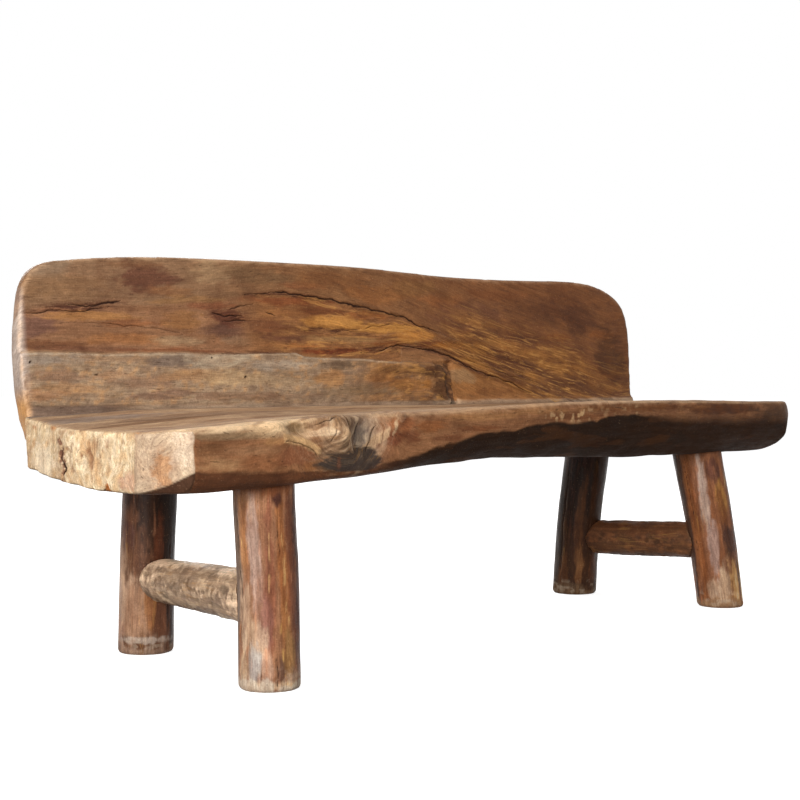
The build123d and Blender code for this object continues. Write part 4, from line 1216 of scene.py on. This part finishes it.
dress_leg(
    "leg_front_right", (661, -252, 0), (648, -195, 356), (132, 84, 56),
    [
        (-74, 200, 22, 190, 56, 36, 27, 0.9), (-44, 240, 16, 120, 126, 74, 40, 0.8),
        # (-10, 250) and (-4, 130) are a painted highlight down the middle of the leg
        (-40, 90, 18, 80, 142, 86, 50, 0.8), (-10, 250, 13, 90, 180, 157, 143, 0.8),
        (-4, 130, 12, 70, 160, 130, 118, 0.8), (20, 300, 18, 30, 92, 56, 44, 0.9),
        # (80, 210) is painted shade on the leg's right side
        (36, 240, 20, 34, 164, 116, 62, 0.9), (80, 210, 16, 130, 54, 35, 25, 0.9),
        (30, 216, 14, 40, 116, 70, 40, 0.8), (40, 142, 24, 42, 66, 42, 36, 0.9),
        (24, 90, 14, 30, 134, 98, 76, 0.7), (45, 50, 14, 50, 206, 160, 104, 0.9),
        (72, 50, 12, 70, 234, 200, 150, 0.9), (60, 60, 8, 50, 92, 58, 36, 0.8),
        (10, 44, 14, 48, 196, 166, 136, 0.65), (-20, 36, 16, 34, 190, 160, 132, 0.6),
        (0, 8, 70, 8, 196, 170, 138, 0.6), (150, 240, 40, 90, 112, 72, 48, 0.8),
        (180, 120, 50, 110, 80, 52, 36, 0.8),
    ],
    [
        ([(60, 120), (58, 60), (62, 10)], 1.4, 1.6),
        ([(-50, 320), (-46, 220), (-52, 120)], 1.6, 1.8),
        ([(150, 330), (156, 180), (150, 60)], 2.2, 2.4),
    ],
    [
        ([(62, 310), (54, 262), (60, 236)], 3.2, (214, 180, 128)),
        ([(40, 90), (44, 40), (40, 6)], 2.6, (234, 206, 160)),
        ([(68, 110), (70, 60), (66, 8)], 2.8, (240, 214, 172)),
        ([(20, 120), (26, 60), (22, 10)], 1.8, (206, 160, 106)),
    ],
    (150, 112, 80), 700,
)
dress_leg(
    # The dark base colour (58, 34, 20) and the near-black patches (-20, 260) and (-70, 180) are partly the
    # leg's dark wood and partly painted shadow of the seat
    "leg_rear_right", (605, 113, 0), (602, 73, 354), (58, 34, 20),
    [
        (-20, 260, 50, 110, 30, 15, 8, 0.95), (-70, 180, 24, 180, 32, 19, 12, 0.9),
        (-6, 170, 10, 90, 88, 54, 32, 0.8), (24, 240, 10, 60, 70, 38, 20, 0.6),
        (0, 60, 14, 50, 120, 80, 50, 0.9), (-45, 50, 16, 50, 96, 60, 36, 0.8),
        (40, 60, 18, 50, 96, 56, 32, 0.8), (-20, 18, 60, 12, 96, 74, 56, 0.8),
        (180, 170, 70, 170, 66, 43, 30, 0.8),
    ],
    [
        ([(-52, 300), (-54, 160), (-50, 20)], 2.0, 2.2),
        ([(20, 180), (16, 120)], 1.4, 1.4),
        ([(170, 300), (166, 160), (172, 40)], 2.2, 2.4),
    ],
    [],
    (104, 78, 58), 800,
)
dress_rail(
    "stretcher_left", (-584, 181, 136), (-651, -245, 143), (238, 206, 174),
    [
        (-50, 330, 40, 60, 224, 188, 146, 0.7), (-20, 120, 40, 50, 186, 160, 134, 0.8),
        (-70, 210, 24, 40, 176, 148, 122, 0.7), (-40, 220, 24, 40, 222, 188, 148, 0.7),
        (-90, 330, 30, 50, 206, 150, 96, 0.8), (-60, 80, 30, 40, 190, 156, 120, 0.7),
        (-95, 110, 20, 50, 150, 118, 90, 0.7), (-30, 290, 16, 20, 132, 122, 112, 0.7),
        # (-140, 230), (60, 230), (120, 230) and (180, 230) run the whole length and darken the rail towards
        # its underside: painted shade
        (-140, 230, 34, 220, 138, 108, 80, 0.8), (60, 230, 40, 220, 118, 92, 70, 0.8),
        (120, 230, 50, 220, 92, 68, 50, 0.8), (180, 230, 40, 220, 78, 56, 42, 0.8),
    ],
    850,
)
dress_rail(
    "stretcher_right", (605, 113, 133), (661, -252, 142), (126, 80, 50),
    [
        (-50, 250, 30, 80, 132, 84, 48, 0.8), (-85, 250, 24, 70, 158, 100, 50, 0.9),
        (-60, 100, 24, 50, 116, 74, 46, 0.7), (-100, 120, 20, 40, 78, 46, 30, 0.8),
        # (-140, 180), (60, 180), (120, 180) and (180, 180) run the whole length and darken the rail towards
        # its underside: painted shade
        (-30, 170, 20, 60, 84, 54, 38, 0.7), (-140, 180, 34, 220, 54, 33, 22, 0.8),
        (60, 180, 40, 220, 92, 58, 38, 0.8), (120, 180, 50, 220, 72, 47, 32, 0.8),
        (180, 180, 40, 220, 54, 35, 25, 0.8),
    ],
    870,
)


# ---------------------------------------------------------------- hidden wedges
def plain_wood(name, colour):
    """Split wedge wood: streaked along its length."""
    material, n, shader = new_material(name)
    streak = n.noise(n.stretch(n.place(), (500, 500, 30)), 1, 4, 0.6)
    light = rgb(*colour)
    n.put(shader.inputs["Base Color"], n.mix(n.span(streak, 0.3, 0.7), 0.6 * light, light))
    n.put(shader.inputs["Roughness"], n.span(streak, 0.3, 0.7, 0.55, 0.75))
    n.put(shader.inputs["Normal"], n.bump(streak, 0.0005, 0.5))
    return material


wedge_wood = plain_wood("wedge_wood", (150, 112, 76))
for node in ("leg_wedges", "stretcher_wedges"):
    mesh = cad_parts[node].data
    mesh.materials.clear()
    mesh.materials.append(wedge_wood)

# ---------------------------------------------------------------- floor, light, camera
FLOOR_HALF = 30.0
WHITE = (1, 1, 1)
FLOOR_GREY, FLOOR_WHITE = (0.14, 0.135, 0.13), (0.8, 0.8, 0.8)  # for light and for the camera
FLOOR_GLOW = 0.76  # what the floor adds to the light on it, so that it looks white
SKY_LIGHT, SKY_GLOW = 0.32, 0.68  # light from all round, and what the camera sees besides
CAMERA_PLACE = (-2.3635, -2.2199, 0.510)
CAMERA_BEARING, CAMERA_PITCH = math.radians(-45.6), math.radians(-0.895)
floor_mesh = bpy.data.meshes.new("floor")
corners = [(-1, -1), (1, -1), (1, 1), (-1, 1)]
floor_mesh.from_pydata([(FLOOR_HALF * a, FLOOR_HALF * b, 0) for a, b in corners], [], [(0, 1, 2, 3)])
floor = new_object("floor", floor_mesh)
floor_material, n, shader = new_material("floor")
shader.inputs["Roughness"].default_value = 0.9
shader.inputs["Specular IOR Level"].default_value = 0.1
n.put(shader.inputs["Emission Color"], WHITE)
n.put(shader.inputs["Base Color"], n.mix(n.seen(), FLOOR_GREY, FLOOR_WHITE))
n.put(shader.inputs["Emission Strength"], n.times(n.seen(), FLOOR_GLOW))
floor_mesh.materials.append(floor_material)

world = bpy.data.worlds.new("studio")
scene.world = world
world.use_nodes = True
n = Nodes(world)
background = n.tree.nodes["Background"].inputs
n.put(background["Color"], WHITE)
n.put(background["Strength"], n.plus(n.times(n.seen(), SKY_GLOW), SKY_LIGHT))


def lamp(name, place, aim, size, power, colour=WHITE):
    """A soft rectangular lamp at a place, turned to what it lights."""
    light = bpy.data.lights.new(name, "AREA")
    light.shape = "RECTANGLE"
    light.size, light.size_y = size
    light.energy = power
    light.color = colour
    stand = new_object(name, light)
    stand.location = place
    stand.rotation_euler = (Vector(aim) - Vector(place)).to_track_quat("-Z", "Y").to_euler()


lamp("key", (-4.0, -1.7, 1.1), (-0.3, 0, 0.3), (1.5, 1.5), 198, (1, 0.99, 0.97))
lamp("fill", (0.2, -4.4, 1.9), (0.2, 0, 0.4), (2.4, 1.8), 47)
lamp("rear", (1.2, 3.6, 2.2), (0, 0.2, 0.5), (2.6, 2.0), 110)
lamp("top", (-0.3, 0, 3.6), (0, 0, 0), (3.0, 2.4), 40)

camera_data = bpy.data.cameras.new("camera")
camera_data.lens = 72
camera_data.sensor_width = 36
camera_data.clip_end = 200
camera = new_object("camera", camera_data)
camera.location = CAMERA_PLACE
camera.rotation_euler = (math.pi / 2 + CAMERA_PITCH, 0, CAMERA_BEARING)
scene.camera = camera

scene.view_settings.view_transform = "Standard"
